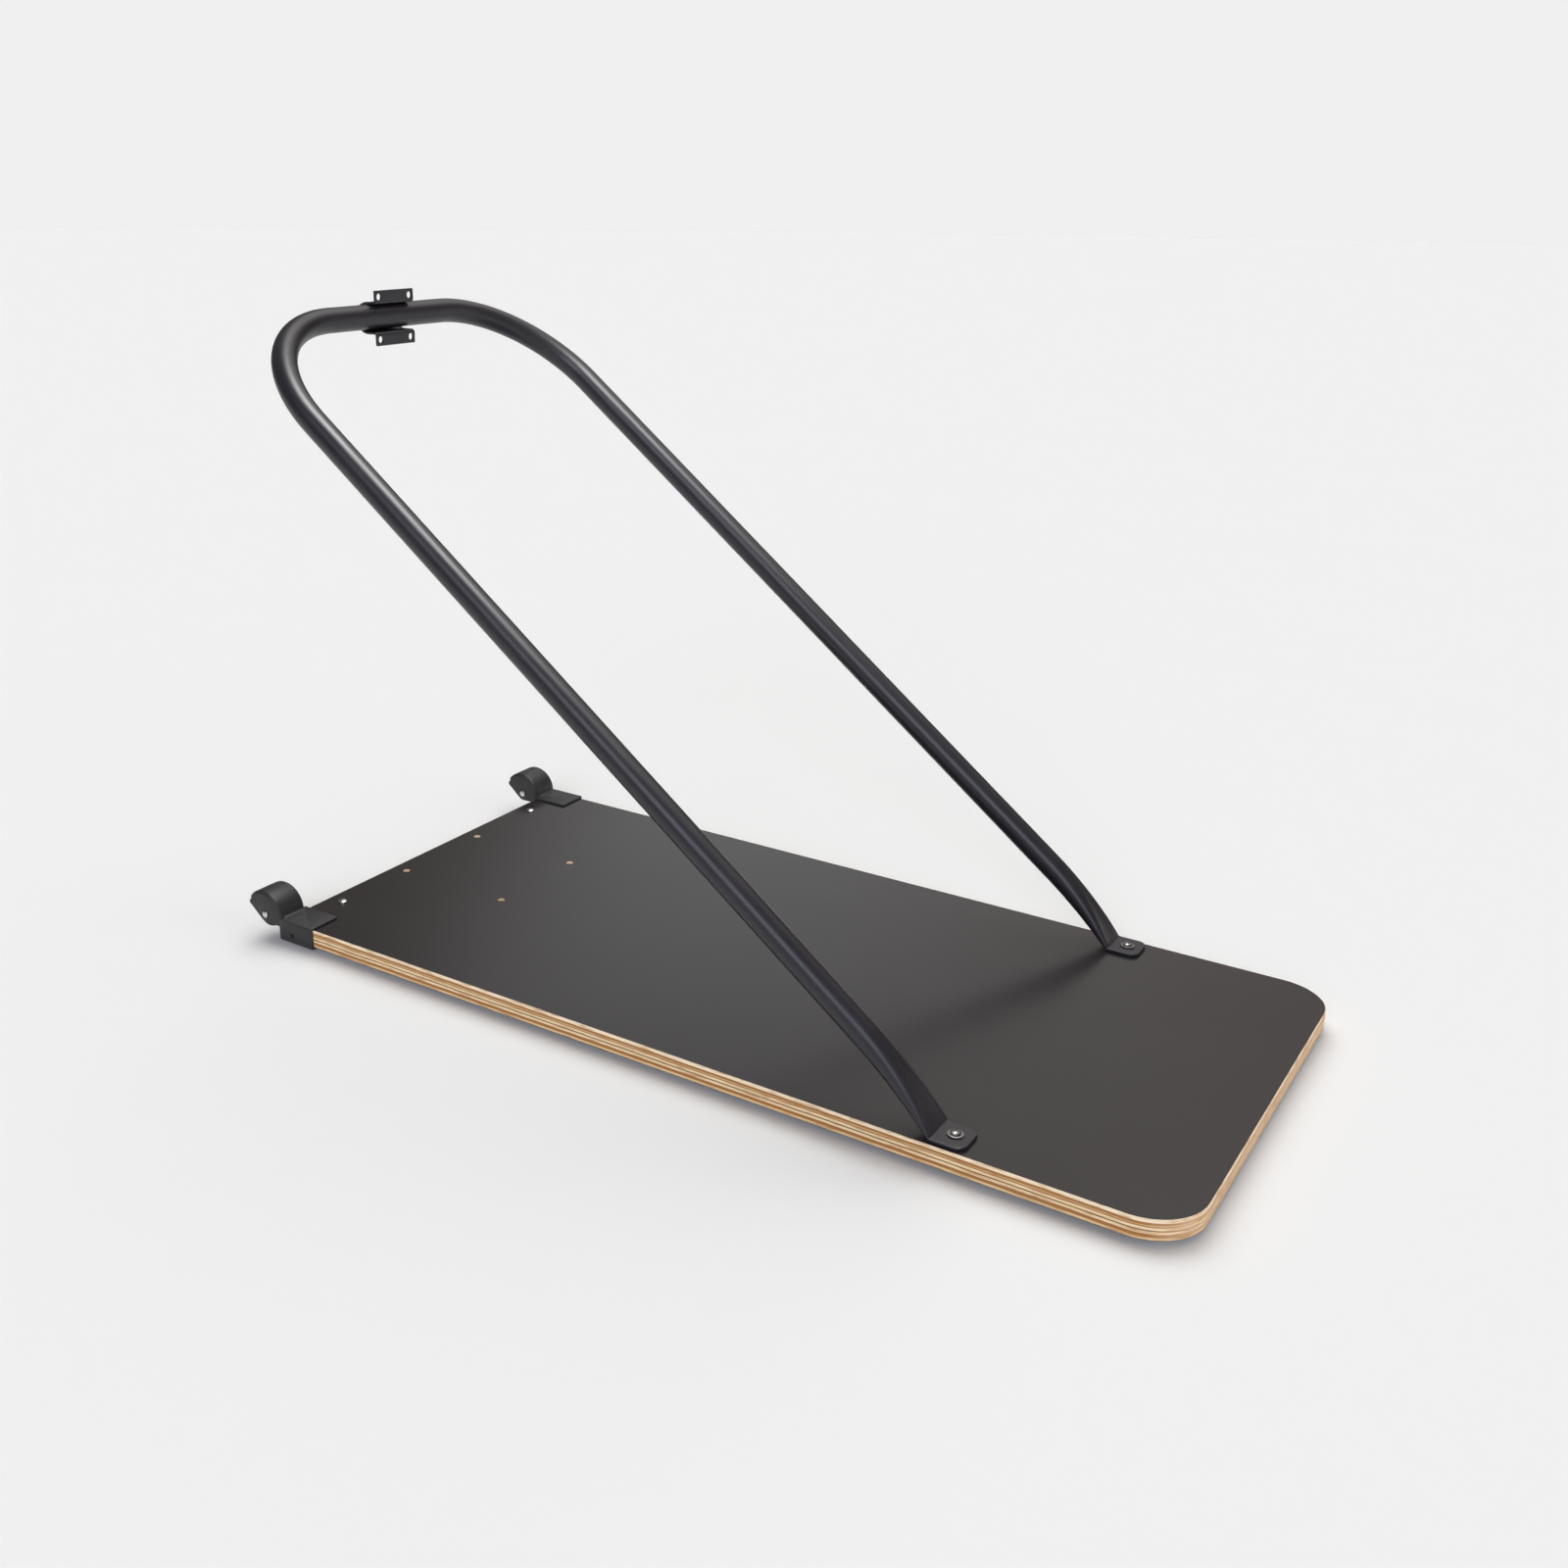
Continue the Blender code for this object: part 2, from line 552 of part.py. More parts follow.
def make_housing(label, sign):
    half = HOOD_WIDTH / 2
    edge = arc((HOOD_RADIUS - HOOD_EDGE_RADIUS, half - HOOD_EDGE_RADIUS), HOOD_EDGE_RADIUS, 90, 0, EDGE_STEPS)
    far_edge = [(radius, -height) for radius, height in reversed(edge)]
    drum = turned("wheel_housing_" + label, [(0, half)] + edge + far_edge + [(0, -half)], HOOD_STEPS)
    drum.location = (sign * (HOOD_INSIDE + half), AXLE_Y + HOOD_LEAD, AXLE_Z)
    drum.rotation_euler = (0, math.pi / 2, 0)
    housing = finished(drum, BLACK_MOULDING)
    cheeks = side_plate("cheeks_" + label, cheek_outline(), HOOD_INSIDE - FIT, HOUSING_OUTSIDE + FIT, sign)
    chamber = side_plate("chamber_" + label, chamber_outline(), HOOD_INSIDE + HOUSING_WALL,
                         HOUSING_OUTSIDE - HOUSING_WALL, sign)
    foot = side_plate("hood_foot_" + label, hood_foot_outline(), HOOD_INSIDE + HOOD_EDGE_RADIUS,
                      HOUSING_OUTSIDE - HOOD_EDGE_RADIUS, sign)
    boolean(housing, cheeks, "INTERSECT")
    boolean(housing, chamber)

    inside = HOUSING_OUTSIDE - HOUSING_PLATE_WIDTH
    low = (min(sign * inside, sign * HOUSING_OUTSIDE), HOUSING_END - HOUSING_PLATE_LENGTH, HOUSING_BOTTOM)
    high = (max(sign * inside, sign * HOUSING_OUTSIDE), HOUSING_END, HOUSING_TOP)
    cap = guide(block("corner_cap_" + label, low, high))
    round_edges(cap, HOUSING_EDGE_RADIUS, 2)
    reach = SIDE_EDGE + FIT
    pocket_low = (min(0, sign * reach), WHEEL_END - 2 * HOUSING_PLATE_LENGTH, DECK_BOTTOM - FIT)
    pocket_high = (max(0, sign * reach), WHEEL_END + FIT, DECK_TOP + FIT)
    boolean(cap, guide(block("deck_pocket_" + label, pocket_low, pocket_high)))
    boolean(housing, cap, "UNION")
    boolean(housing, foot, "UNION")

    axle_hole = ((sign * HOOD_INSIDE / 2, AXLE_Y, AXLE_Z), (sign * 2 * HOUSING_OUTSIDE, AXLE_Y, AXLE_Z),
                 AXLE_RADIUS + FIT)
    boolean(housing, drill("axle_hole_" + label, [axle_hole]))
    side_y = WHEEL_END - SIDE_SCREW_SETBACK
    side_z = DECK_TOP - SIDE_SCREW_DEPTH
    base_x = sign * (SIDE_EDGE - BASE_SCREW_INSET)
    base_y = WHEEL_END - BASE_SCREW_SETBACK
    boolean(housing, make_housing_screw("housing_side_screw_" + label,
                                        (sign * (HOUSING_OUTSIDE - FIT), side_y, side_z),
                                        (0, sign * math.pi / 2, 0)))
    boolean(housing, make_housing_screw("housing_base_screw_" + label,
                                        (base_x, base_y, HOUSING_BOTTOM + FIT), (math.pi, 0, 0)))
    bite = HOUSING_WALL + HOUSING_SCREW_BITE + 2 * FIT
    pilot = HOUSING_SCREW_RADIUS + FIT
    side_pilot = ((sign * (HOUSING_OUTSIDE - bite), side_y, side_z),
                  (sign * HOUSING_OUTSIDE, side_y, side_z), pilot)
    base_pilot = ((base_x, base_y, HOUSING_BOTTOM), (base_x, base_y, HOUSING_BOTTOM + bite), pilot)
    return [side_pilot, base_pilot]


# Wheels: a hub with a rubber tyre, a spacer on the inner side, and a headed axle held by a press-on cap.
def make_wheel(label, sign):
    axis = bpy.data.objects.new("wheel_axis_" + label, None)
    axis.location = (sign * (WHEEL_INSIDE + WHEEL_WIDTH / 2), AXLE_Y, AXLE_Z)
    axis.rotation_euler = (0, sign * math.pi / 2, 0)
    stand.objects.link(axis)
    half = WHEEL_WIDTH / 2
    bore = AXLE_RADIUS + FIT
    bed = WHEEL_RADIUS - TYRE_THICKNESS
    rim = bed - FIT
    rim_lip = rim - TYRE_SHOULDER
    hub_top = half + WHEEL_SIDE_GAP - FIT
    dish = half - WHEEL_DISH
    hub = turned("wheel_" + label,
                 [(bore, hub_top), (WHEEL_HUB_RADIUS, hub_top), (WHEEL_HUB_RADIUS, dish), (rim_lip, dish),
                  (rim_lip, half), (rim, half), (rim, -half), (rim_lip, -half), (rim_lip, -dish),
                  (WHEEL_HUB_RADIUS, -dish), (WHEEL_HUB_RADIUS, -half), (bore, -half)], WHEEL_STEPS)
    finished(hub, GREY_NYLON)
    hub.parent = axis
    shoulder = arc((WHEEL_RADIUS - TYRE_SHOULDER, half - TYRE_SHOULDER), TYRE_SHOULDER, 90, 0, FOLD_STEPS)
    mirrored = [(radius, -height) for radius, height in reversed(shoulder)]
    tyre = turned("tyre_" + label, [(bed, half)] + shoulder + mirrored + [(bed, -half)], WHEEL_STEPS)
    finished(tyre, BLACK_RUBBER)
    tyre.parent = axis

    inner_face = HOOD_INSIDE + HOUSING_WALL
    gap = WHEEL_INSIDE - inner_face - 2 * FIT
    spacer = turned("axle_spacer_" + label, [(bore, gap / 2), (SPACER_RADIUS, gap / 2),
                                             (SPACER_RADIUS, -gap / 2), (bore, -gap / 2)], BOLT_STEPS)
    spacer.location = (sign * (inner_face + FIT + gap / 2), AXLE_Y, AXLE_Z)
    spacer.rotation_euler = axis.rotation_euler
    finished(spacer, GREY_NYLON)

    seat = HOUSING_OUTSIDE + FIT
    reach = seat - HOOD_INSIDE + AXLE_TAIL
    axle = turned("axle_" + label, dome(AXLE_HEAD_RADIUS, AXLE_HEAD_RIM, AXLE_HEAD_HEIGHT)
                  + [(AXLE_HEAD_RADIUS, 0), (AXLE_RADIUS, 0), (AXLE_RADIUS, -reach), (0, -reach)], BOLT_STEPS)
    axle.location = (sign * seat, AXLE_Y, AXLE_Z)
    axle.rotation_euler = axis.rotation_euler
    finished(axle, BRIGHT_ZINC)

    depth = AXLE_TAIL + FIT
    cap = turned("axle_cap_" + label, dome(AXLE_HEAD_RADIUS, depth, depth + AXLE_CAP_WALL)
                 + [(AXLE_HEAD_RADIUS, FIT), (bore, FIT), (bore, depth), (0, depth)], BOLT_STEPS)
    cap.location = (sign * HOOD_INSIDE, AXLE_Y, AXLE_Z)
    cap.rotation_euler = (0, -sign * math.pi / 2, 0)
    finished(cap, BRIGHT_ZINC)


# Feet: rubber pucks, two on through bolts at the wheel end and four on wood screws.
def make_foot(name, x, y):
    foot = turned(name, [(BOLT_HOLE_RADIUS, FOOT_HEIGHT), (FOOT_RADIUS, FOOT_HEIGHT),
                         (FOOT_RADIUS - FOOT_DRAFT, 0), (FOOT_RECESS_RADIUS, 0),
                         (FOOT_RECESS_RADIUS, FOOT_RECESS_DEPTH), (BOLT_HOLE_RADIUS, FOOT_RECESS_DEPTH)],
                  DISC_STEPS)
    foot.location = (x, y, 0)
    return finished(foot, BLACK_RUBBER)


def make_bolted_foot(label, sign):
    x = sign * (SIDE_EDGE - FOOT_BOLT_INSET)
    y = WHEEL_END - FOOT_BOLT_SETBACK
    make_foot("foot_wheel_end_" + label, x, y)
    nut_top = FOOT_RECESS_DEPTH - FIT
    nut_low = nut_top - FOOT_NUT_HEIGHT
    make_bolt("foot_bolt_" + label, (x, y, DECK_TOP + FIT), DECK_TOP + FIT - nut_low)
    corner = FOOT_NUT_HALF_FLATS / math.cos(math.pi / 6)
    bm = bmesh.new()
    bmesh.ops.create_cone(bm, cap_ends=True, segments=6, radius1=corner, radius2=corner, depth=FOOT_NUT_HEIGHT)
    nut = solid("foot_nut_" + label, bm, (x, y, nut_low + FOOT_NUT_HEIGHT / 2))
    bore = ((x, y, nut_low - FIT), (x, y, nut_top + FIT), BOLT_HOLE_RADIUS)
    boolean(nut, drill("foot_nut_bore_" + label, [bore]))
    finished(nut, BRIGHT_ZINC)
    return ((x, y, DECK_BOTTOM - FIT), (x, y, DECK_TOP + FIT), BOLT_HOLE_RADIUS)


def make_screwed_foot(place, label, sign, setback):
    x = sign * (SIDE_EDGE - FOOT_SIDE_INSET)
    y = USER_END + setback
    make_foot("foot_" + place + "_" + label, x, y)
    head = FOOT_RECESS_DEPTH - FIT
    low = head - FOOT_SCREW_HEAD_HEIGHT
    tip = DECK_BOTTOM + FOOT_SCREW_BITE
    screw = turned("foot_screw_" + place + "_" + label,
                   [(0, tip), (FOOT_SCREW_RADIUS, tip - FOOT_SCREW_RADIUS), (FOOT_SCREW_RADIUS, head),
                    (FOOT_SCREW_HEAD_RADIUS, head), (FOOT_SCREW_HEAD_RADIUS, low), (0, low)], BOLT_STEPS)
    screw.location = (x, y, 0)
    finished(screw, BRIGHT_ZINC)
    return ((x, y, DECK_BOTTOM - FIT), (x, y, tip + FIT), FOOT_SCREW_RADIUS + FIT)


def make_tab_fastening(label, sign):
    x = sign * LEG_X
    washer = turned("tab_washer_" + label,
                    [(BOLT_HOLE_RADIUS, TAB_WASHER_THICKNESS), (TAB_WASHER_RADIUS, TAB_WASHER_THICKNESS),
                     (TAB_WASHER_RADIUS, 0), (BOLT_HOLE_RADIUS, 0)], DISC_STEPS)
    washer.location = (x, TAB_BOLT_Y, TAB_TOP + FIT)
    finished(washer, BRIGHT_ZINC)
    bolt_seat = TAB_TOP + TAB_WASHER_THICKNESS + 2 * FIT
    make_bolt("tab_bolt_" + label, (x, TAB_BOLT_Y, bolt_seat), bolt_seat - DECK_BOTTOM)
    make_tee_nut("tab_nut_" + label, x, TAB_BOLT_Y, TAB_NUT_RADIUS, BOLT_HOLE_RADIUS)
    return ((x, TAB_BOLT_Y, DECK_BOTTOM - FIT), (x, TAB_BOLT_Y, DECK_TOP + FIT), TAB_NUT_RADIUS + FIT)


def make_machine_fastening(number, x, y):
    barrel = MACHINE_HOLE_RADIUS - FIT
    make_tee_nut("machine_nut_%d" % number, x, y, barrel, barrel - TEE_NUT_WALL)
    return ((x, y, DECK_BOTTOM - FIT), (x, y, DECK_TOP + FIT), MACHINE_HOLE_RADIUS)


# Assembly, which gathers the holes that each fastener needs in the deck.
deck_holes = []
for label, sign in SIDES:
    deck_holes += make_housing(label, sign)
    make_wheel(label, sign)
    deck_holes.append(make_bolted_foot(label, sign))
    deck_holes.append(make_screwed_foot("middle", label, sign, FOOT_MIDDLE_SETBACK))
    deck_holes.append(make_screwed_foot("user_end", label, sign, FOOT_USER_SETBACK))
    deck_holes.append(make_tab_fastening(label, sign))
deck_holes.append(make_machine_fastening(1, -MACHINE_HOLE_HALF_SPACING, MACHINE_FRONT_Y))
deck_holes.append(make_machine_fastening(2, MACHINE_HOLE_HALF_SPACING, MACHINE_FRONT_Y))
deck_holes.append(make_machine_fastening(3, -MACHINE_HOLE_HALF_SPACING, MACHINE_REAR_Y))
deck_holes.append(make_machine_fastening(4, MACHINE_HOLE_HALF_SPACING, MACHINE_REAR_Y))
make_deck(deck_holes)
make_tube()
make_bracket()
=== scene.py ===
"""Dressed model of a floor stand for an upright pulling trainer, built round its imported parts.

Metres, +Z up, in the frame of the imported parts: +X to the right of a user who faces the bracket, +Y
towards the wheel end, and the floor at zero.
"""
import json
import math

import bmesh
import bpy
from mathutils import Matrix, Vector

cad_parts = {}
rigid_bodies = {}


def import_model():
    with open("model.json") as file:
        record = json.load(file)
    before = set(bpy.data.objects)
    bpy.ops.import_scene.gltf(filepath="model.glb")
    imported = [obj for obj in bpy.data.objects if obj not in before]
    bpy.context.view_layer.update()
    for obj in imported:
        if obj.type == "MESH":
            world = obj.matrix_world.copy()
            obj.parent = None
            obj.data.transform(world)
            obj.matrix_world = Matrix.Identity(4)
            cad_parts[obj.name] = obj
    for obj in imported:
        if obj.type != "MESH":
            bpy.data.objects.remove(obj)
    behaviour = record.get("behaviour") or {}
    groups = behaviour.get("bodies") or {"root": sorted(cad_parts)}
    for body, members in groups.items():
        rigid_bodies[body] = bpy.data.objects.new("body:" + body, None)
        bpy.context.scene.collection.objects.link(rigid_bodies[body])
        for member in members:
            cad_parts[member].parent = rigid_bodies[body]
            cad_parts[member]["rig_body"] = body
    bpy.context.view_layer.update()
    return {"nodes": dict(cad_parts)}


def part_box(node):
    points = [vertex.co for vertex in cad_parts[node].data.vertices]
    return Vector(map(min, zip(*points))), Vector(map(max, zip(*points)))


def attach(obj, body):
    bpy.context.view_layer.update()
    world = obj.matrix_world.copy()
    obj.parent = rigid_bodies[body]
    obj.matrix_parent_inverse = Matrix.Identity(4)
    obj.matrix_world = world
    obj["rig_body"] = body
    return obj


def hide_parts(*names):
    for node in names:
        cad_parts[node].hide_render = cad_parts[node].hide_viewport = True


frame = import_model()


# Studio: a pale matt floor that runs into a backdrop of the same tone, and a camera at chest height on the
# user's left.  The walls are dim, cool on the left and warm on the right, under a broad light from above.
# A large soft box behind gives the film its sheen, and smaller ones and a gloss box light the tube.
PAPER = "f0f0f0"
FLOOR_TONE = "edeeec"
FLOOR_RADIUS = 30.0
FLOOR_FACETS = 64
COOL_WALL = "ecf1fa"
WARM_WALL = "ffecdc"
WALL_BLEND = 0.6
WALL_LIGHT = 0.14
OVERHEAD = (0.50, 0.0, 0.866)
OVERHEAD_FADE = (0.84, 0.98)
OVERHEAD_LIGHT = 1.7
# The soft box behind: for each of its sides a direction, and where along it the box begins and is full.
BOX_SIDES = (((0.643, -0.766, 0.745), 0.290, 0.310),
             ((0.643, -0.766, 0.0), 0.70, 0.18),
             ((0, 0, 1), 0.20, 0.28),
             ((0, 0, 1), 0.62, 0.50))
BOX_LIGHT = 0.74
# The smaller ones: where each stands, its spread in degrees, its power and colour, and if gloss shows it.
SOFT_LIGHTS = (("light_above", (0.42, 0.46, 0.78), 46, 1.66, "ffffff", False),
               ("light_left", (-0.84, -0.19, 0.508), 30, 1.05, "dfe2f7", True),
               ("fill_left", (-0.93, -0.30, 0.20), 40, 0.75, "fff7ee", False),
               ("fill_front", (0.15, -0.96, 0.22), 40, 0.70, "fffefc", False),
               ("light_right", (0.554, -0.821, 0.139), 24, 0.105, "ffffff", True))
GLOSS_BOX_PLACE = (0.10, 0.15, 2.75)
GLOSS_BOX_SIDE = 1.1
GLOSS_BOX_POWER = 66.0
CAMERA_PLACE = Vector((-1.6524, -0.9365, 0.9752))
CAMERA_AZIMUTH = math.radians(-56.276)
CAMERA_ELEVATION = math.radians(21.141)
CAMERA_ROLL = math.radians(0.462)
CAMERA_LENS = 37.0
CAMERA_SHIFT = (0.0765, 0.0089)


def linear(code):
    """An sRGB hex colour as linear red, green, blue and alpha."""
    shares = [int(code[i:i + 2], 16) / 255 for i in (0, 2, 4)]
    return [*(c / 12.92 if c <= 0.04045 else ((c + 0.055) / 1.055) ** 2.4 for c in shares), 1.0]


def add(tree, kind, inputs, **settings):
    """Adds a node with its settings; an input is either a value or the socket that feeds it."""
    made = tree.nodes.new("ShaderNode" + kind)
    for name, value in settings.items():
        setattr(made, name, value)
    for name, value in inputs.items():
        if isinstance(value, bpy.types.NodeSocket):
            tree.links.new(value, made.inputs[name])
        else:
            made.inputs[name].default_value = value
    return made


def blend(tree, share, first, second):
    """A colour that goes from the first to the second with a share; each is a hex code or a socket."""
    ends = [linear(end) if isinstance(end, str) else end for end in (first, second)]
    return add(tree, "Mix", {0: share, 6: ends[0], 7: ends[1]}, data_type="RGBA").outputs[2]


# Matt paper: even and without gloss.
paper = bpy.data.materials.new("matt_paper_floor")
paper.use_nodes = True
tree = paper.node_tree
tree.nodes.clear()
matt = add(tree, "BsdfDiffuse", {"Color": linear(FLOOR_TONE)})
add(tree, "OutputMaterial", {"Surface": matt.outputs[0]})

form = bmesh.new()
bmesh.ops.create_circle(form, cap_ends=True, segments=FLOOR_FACETS, radius=FLOOR_RADIUS)
floor_mesh = bpy.data.meshes.new("paper_floor")
form.to_mesh(floor_mesh)
form.free()
floor_mesh.materials.append(paper)
floor = bpy.data.objects.new("paper_floor", floor_mesh)
bpy.context.scene.collection.objects.link(floor)

world = bpy.data.worlds.new("studio")
world.use_nodes = True
tree = world.node_tree
tree.nodes.clear()
backdrop = add(tree, "Background", {"Color": linear(PAPER)})
outward = add(tree, "TexCoord", {}).outputs["Generated"]
sideways = add(tree, "SeparateXYZ", {"Vector": outward}).outputs["X"]
warmth = add(tree, "MapRange", {"Value": sideways, "From Min": -WALL_BLEND, "From Max": WALL_BLEND})
wall_tone = blend(tree, warmth.outputs[0], COOL_WALL, WARM_WALL)
upwards = add(tree, "VectorMath", {0: outward, 1: OVERHEAD}, operation="DOT_PRODUCT")
overhead = add(tree, "MapRange", {"Value": upwards.outputs["Value"], "From Min": OVERHEAD_FADE[0],
                                  "From Max": OVERHEAD_FADE[1]}, interpolation_type="SMOOTHSTEP")
room_light = add(tree, "MapRange", {"Value": overhead.outputs[0], "To Min": WALL_LIGHT,
                                    "To Max": OVERHEAD_LIGHT})
soft_box = 1.0
for axis, start, full in BOX_SIDES:
    reach = add(tree, "VectorMath", {0: outward, 1: axis}, operation="DOT_PRODUCT")
    within = add(tree, "MapRange", {"Value": reach.outputs["Value"], "From Min": start, "From Max": full})
    soft_box = add(tree, "Math", {0: soft_box, 1: within.outputs[0]}, operation="MULTIPLY").outputs[0]
whiteness = add(tree, "Math", {0: overhead.outputs[0], 1: soft_box}, operation="MAXIMUM")
room_tone = blend(tree, whiteness.outputs[0], wall_tone, "ffffff")
all_light = add(tree, "Math", {0: soft_box, 1: BOX_LIGHT, 2: room_light.outputs[0]},
                operation="MULTIPLY_ADD")
fill = add(tree, "Background", {"Color": room_tone, "Strength": all_light.outputs[0]})
seen = add(tree, "LightPath", {}).outputs["Is Camera Ray"]
mixed = add(tree, "MixShader", {0: seen, 1: fill.outputs[0], 2: backdrop.outputs[0]})
add(tree, "OutputWorld", {"Surface": mixed.outputs[0]})
bpy.context.scene.world = world
bpy.context.scene.view_settings.view_transform = "Standard"

for name, direction, spread, power, code, mirrored in SOFT_LIGHTS:
    lamp = bpy.data.lights.new(name, "SUN")
    lamp.energy = power
    lamp.color = linear(code)[:3]
    lamp.angle = math.radians(spread)
    soft_light = bpy.data.objects.new(name, lamp)
    soft_light.rotation_mode = "QUATERNION"
    soft_light.rotation_quaternion = Vector(direction).to_track_quat("Z", "Y")
    soft_light.visible_glossy = mirrored
    bpy.context.scene.collection.objects.link(soft_light)

lamp = bpy.data.lights.new("gloss_box", "AREA")
lamp.energy = GLOSS_BOX_POWER
lamp.size = GLOSS_BOX_SIDE
gloss_box = bpy.data.objects.new("gloss_box", lamp)
gloss_box.location = GLOSS_BOX_PLACE
gloss_box.visible_diffuse = False
bpy.context.scene.collection.objects.link(gloss_box)

lens = bpy.data.cameras.new("camera")
lens.lens = CAMERA_LENS
lens.shift_x, lens.shift_y = CAMERA_SHIFT
camera = bpy.data.objects.new("camera", lens)
level = math.cos(CAMERA_ELEVATION)
back = Vector((math.sin(CAMERA_AZIMUTH) * level, -math.cos(CAMERA_AZIMUTH) * level,
               math.sin(CAMERA_ELEVATION)))
aim = (-back).to_track_quat("-Z", "Y").to_matrix().to_4x4() @ Matrix.Rotation(CAMERA_ROLL, 4, "Z")
camera.matrix_world = Matrix.Translation(CAMERA_PLACE) @ aim
bpy.context.scene.collection.objects.link(camera)
bpy.context.scene.camera = camera


# Deck board: birch plywood with a brown-black phenolic film hot-pressed on both faces, printed with a fine
# wire mesh for grip.  The sheet is sawn, its two corners at the user's end are rounded, its arris is sanded
# through the film to the pale ply, and four holes are drilled for the trainer's foot.
CORNER_RADIUS = 0.065
CORNER_SEGMENTS = 24
ARRIS = 0.0012
MACHINE_HOLE_RADIUS = 0.005
MACHINE_HOLE_MARGIN = 1.5
HOLE_SIDES = 32
MERGE = 0.00001
CREASE = 32
FILM_CREASE = 15
MESH_PITCH_MM = 4.0
MESH_LEAN = 32
# The length of one wave in a wave texture of scale 1.
WAVE_PERIOD = math.pi / 10
PALE_BIRCH = "f2dab0"
SHADED_BIRCH = "e9ca96"
TOP_BIRCH = "f9e7c6"
BROWN_BIRCH = "b57e42"
CORE_BIRCH = "765630"
GLUE_LINE = "8a5720"
ARRIS_FILM_AND_SHADE = "846240"
# The plies from the lowest up, with their thickness in millimetres.  The lowest is dark at its arris,
# partly from
# the film's dark edge and partly painted shade near the floor.  The lowest pale ply is darkened by painted
# shade too.
PLIES = ((0.8, ARRIS_FILM_AND_SHADE), (3.2, SHADED_BIRCH), (3.6, BROWN_BIRCH), (3.2, PALE_BIRCH), (1.5, CORE_BIRCH),
         (3.2, PALE_BIRCH), (1.4, BROWN_BIRCH), (1.0, SHADED_BIRCH), (2.9, BROWN_BIRCH), (3.7, TOP_BIRCH))
PLY_EASE_MM = 0.3
VENEER_DRIFT = 0.0007
CROSS_CUT_TONE = "e6c5a2"
CROSS_CUT_START = 0.045
CROSS_CUT_FULL = 0.010
CROSS_CUT_SHARE = 0.55
PLY_GRAIN_MM = (22, 22, 1.6)
FLECK_TONE = "b07537"
FLECK_LIMITS = (0.49, 0.68)
FLECK_SHARE = 0.75


def per_metre(millimetres):
    """How often a pattern of that size comes round in a metre."""
    return 1000.0 / millimetres


def new_finish(name):
    """An empty material, its nodes, and the socket that gives a point's place in the stand."""
    finish = bpy.data.materials.new(name)
    finish.use_nodes = True
    finish.node_tree.nodes.clear()
    return finish, finish.node_tree, add(finish.node_tree, "TexCoord", {}).outputs["Object"]


def noise(tree, place, millimetres, detail):
    """A cloudy pattern with a grain of that size, as a share."""
    inputs = {"Vector": place, "Scale": per_metre(millimetres), "Detail": detail}
    return add(tree, "TexNoise", inputs).outputs["Fac"]


def between(tree, share, low, high):
    """A value that goes from low to high with a share."""
    return add(tree, "MapRange", {"Value": share, "To Min": low, "To Max": high}).outputs[0]


def relief(tree, height, strength, depth):
    """The light and shade of a surface that a pattern raises."""
    return add(tree, "Bump", {"Height": height, "Strength": strength, "Distance": depth}).outputs[0]


def surface(tree, inputs):
    """Ends a material with the shader that takes these inputs."""
    shader = add(tree, "BsdfPrincipled", inputs)
    add(tree, "OutputMaterial", {"Surface": shader.outputs[0]})


# Phenolic film: a dull sheen with a faint brown cast, cloudy from the press, crossed by the mesh's print.
# The print is 2 mm apart on the sheet and is drawn wider, so that it shows.
phenolic_film, tree, place = new_finish("phenolic_film")
wires = []
for lean in (-MESH_LEAN, MESH_LEAN):
    turned = add(tree, "Mapping", {"Vector": place, "Rotation": (0, 0, math.radians(lean))})
    waves = add(tree, "TexWave", {"Vector": turned.outputs[0],
                                  "Scale": WAVE_PERIOD * per_metre(MESH_PITCH_MM)})
    wires.append(waves.outputs["Fac"])
mesh_print = add(tree, "Math", {0: wires[0], 1: wires[1]}, operation="MAXIMUM").outputs[0]
surface(tree, {"Base Color": blend(tree, noise(tree, place, 140, 4.0), "262425", "2d2b2c"),
               "Roughness": between(tree, mesh_print, 0.18, 0.24),
               "Normal": relief(tree, mesh_print, 0.10, 0.0002), "IOR": 1.45})

# Sawn birch ply: pale veneers that run with the edge, brown ones cut across the grain, glue lines between.
# At the user's end the saw cuts the other way, and the veneers look more alike.
birch_ply, tree, place = new_finish("sawn_birch_ply")
point = add(tree, "SeparateXYZ", {"Vector": place})
drift = between(tree, noise(tree, place, 70, 2.0), -VENEER_DRIFT, VENEER_DRIFT)
drifted = add(tree, "Math", {0: point.outputs["Z"], 1: drift})
board_low, board_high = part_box("deck_board")
share = add(tree, "MapRange", {"Value": drifted.outputs[0], "From Min": board_low.z,
                               "From Max": board_high.z})
veneer = add(tree, "ValToRGB", {"Fac": share.outputs[0]})
stops = veneer.color_ramp.elements
stops[0].color = linear(PLIES[0][1])
stops[-1].color = linear(PLIES[-1][1])
sheet_mm = sum(thickness for thickness, tone in PLIES)
low_mm = 0.0
for thickness, tone in PLIES:
    face_tone = tone
    if tone == BROWN_BIRCH:
        face_tone = GLUE_LINE
        stops.new((low_mm + thickness / 2) / sheet_mm).color = linear(tone)
    for face_mm in (PLY_EASE_MM, thickness - PLY_EASE_MM):
        stops.new((low_mm + face_mm) / sheet_mm).color = linear(face_tone)
    low_mm += thickness
cross_cut = add(tree, "MapRange", {"Value": point.outputs["Y"], "From Min": board_low.y + CROSS_CUT_START,
                                   "From Max": board_low.y + CROSS_CUT_FULL, "To Max": CROSS_CUT_SHARE})
cut_tone = blend(tree, cross_cut.outputs[0], veneer.outputs["Color"], CROSS_CUT_TONE)
long_grain = add(tree, "Mapping", {"Vector": place, "Scale": [per_metre(size) for size in PLY_GRAIN_MM]})
grain = add(tree, "TexNoise", {"Vector": long_grain.outputs[0], "Scale": 1.0, "Detail": 5.0})
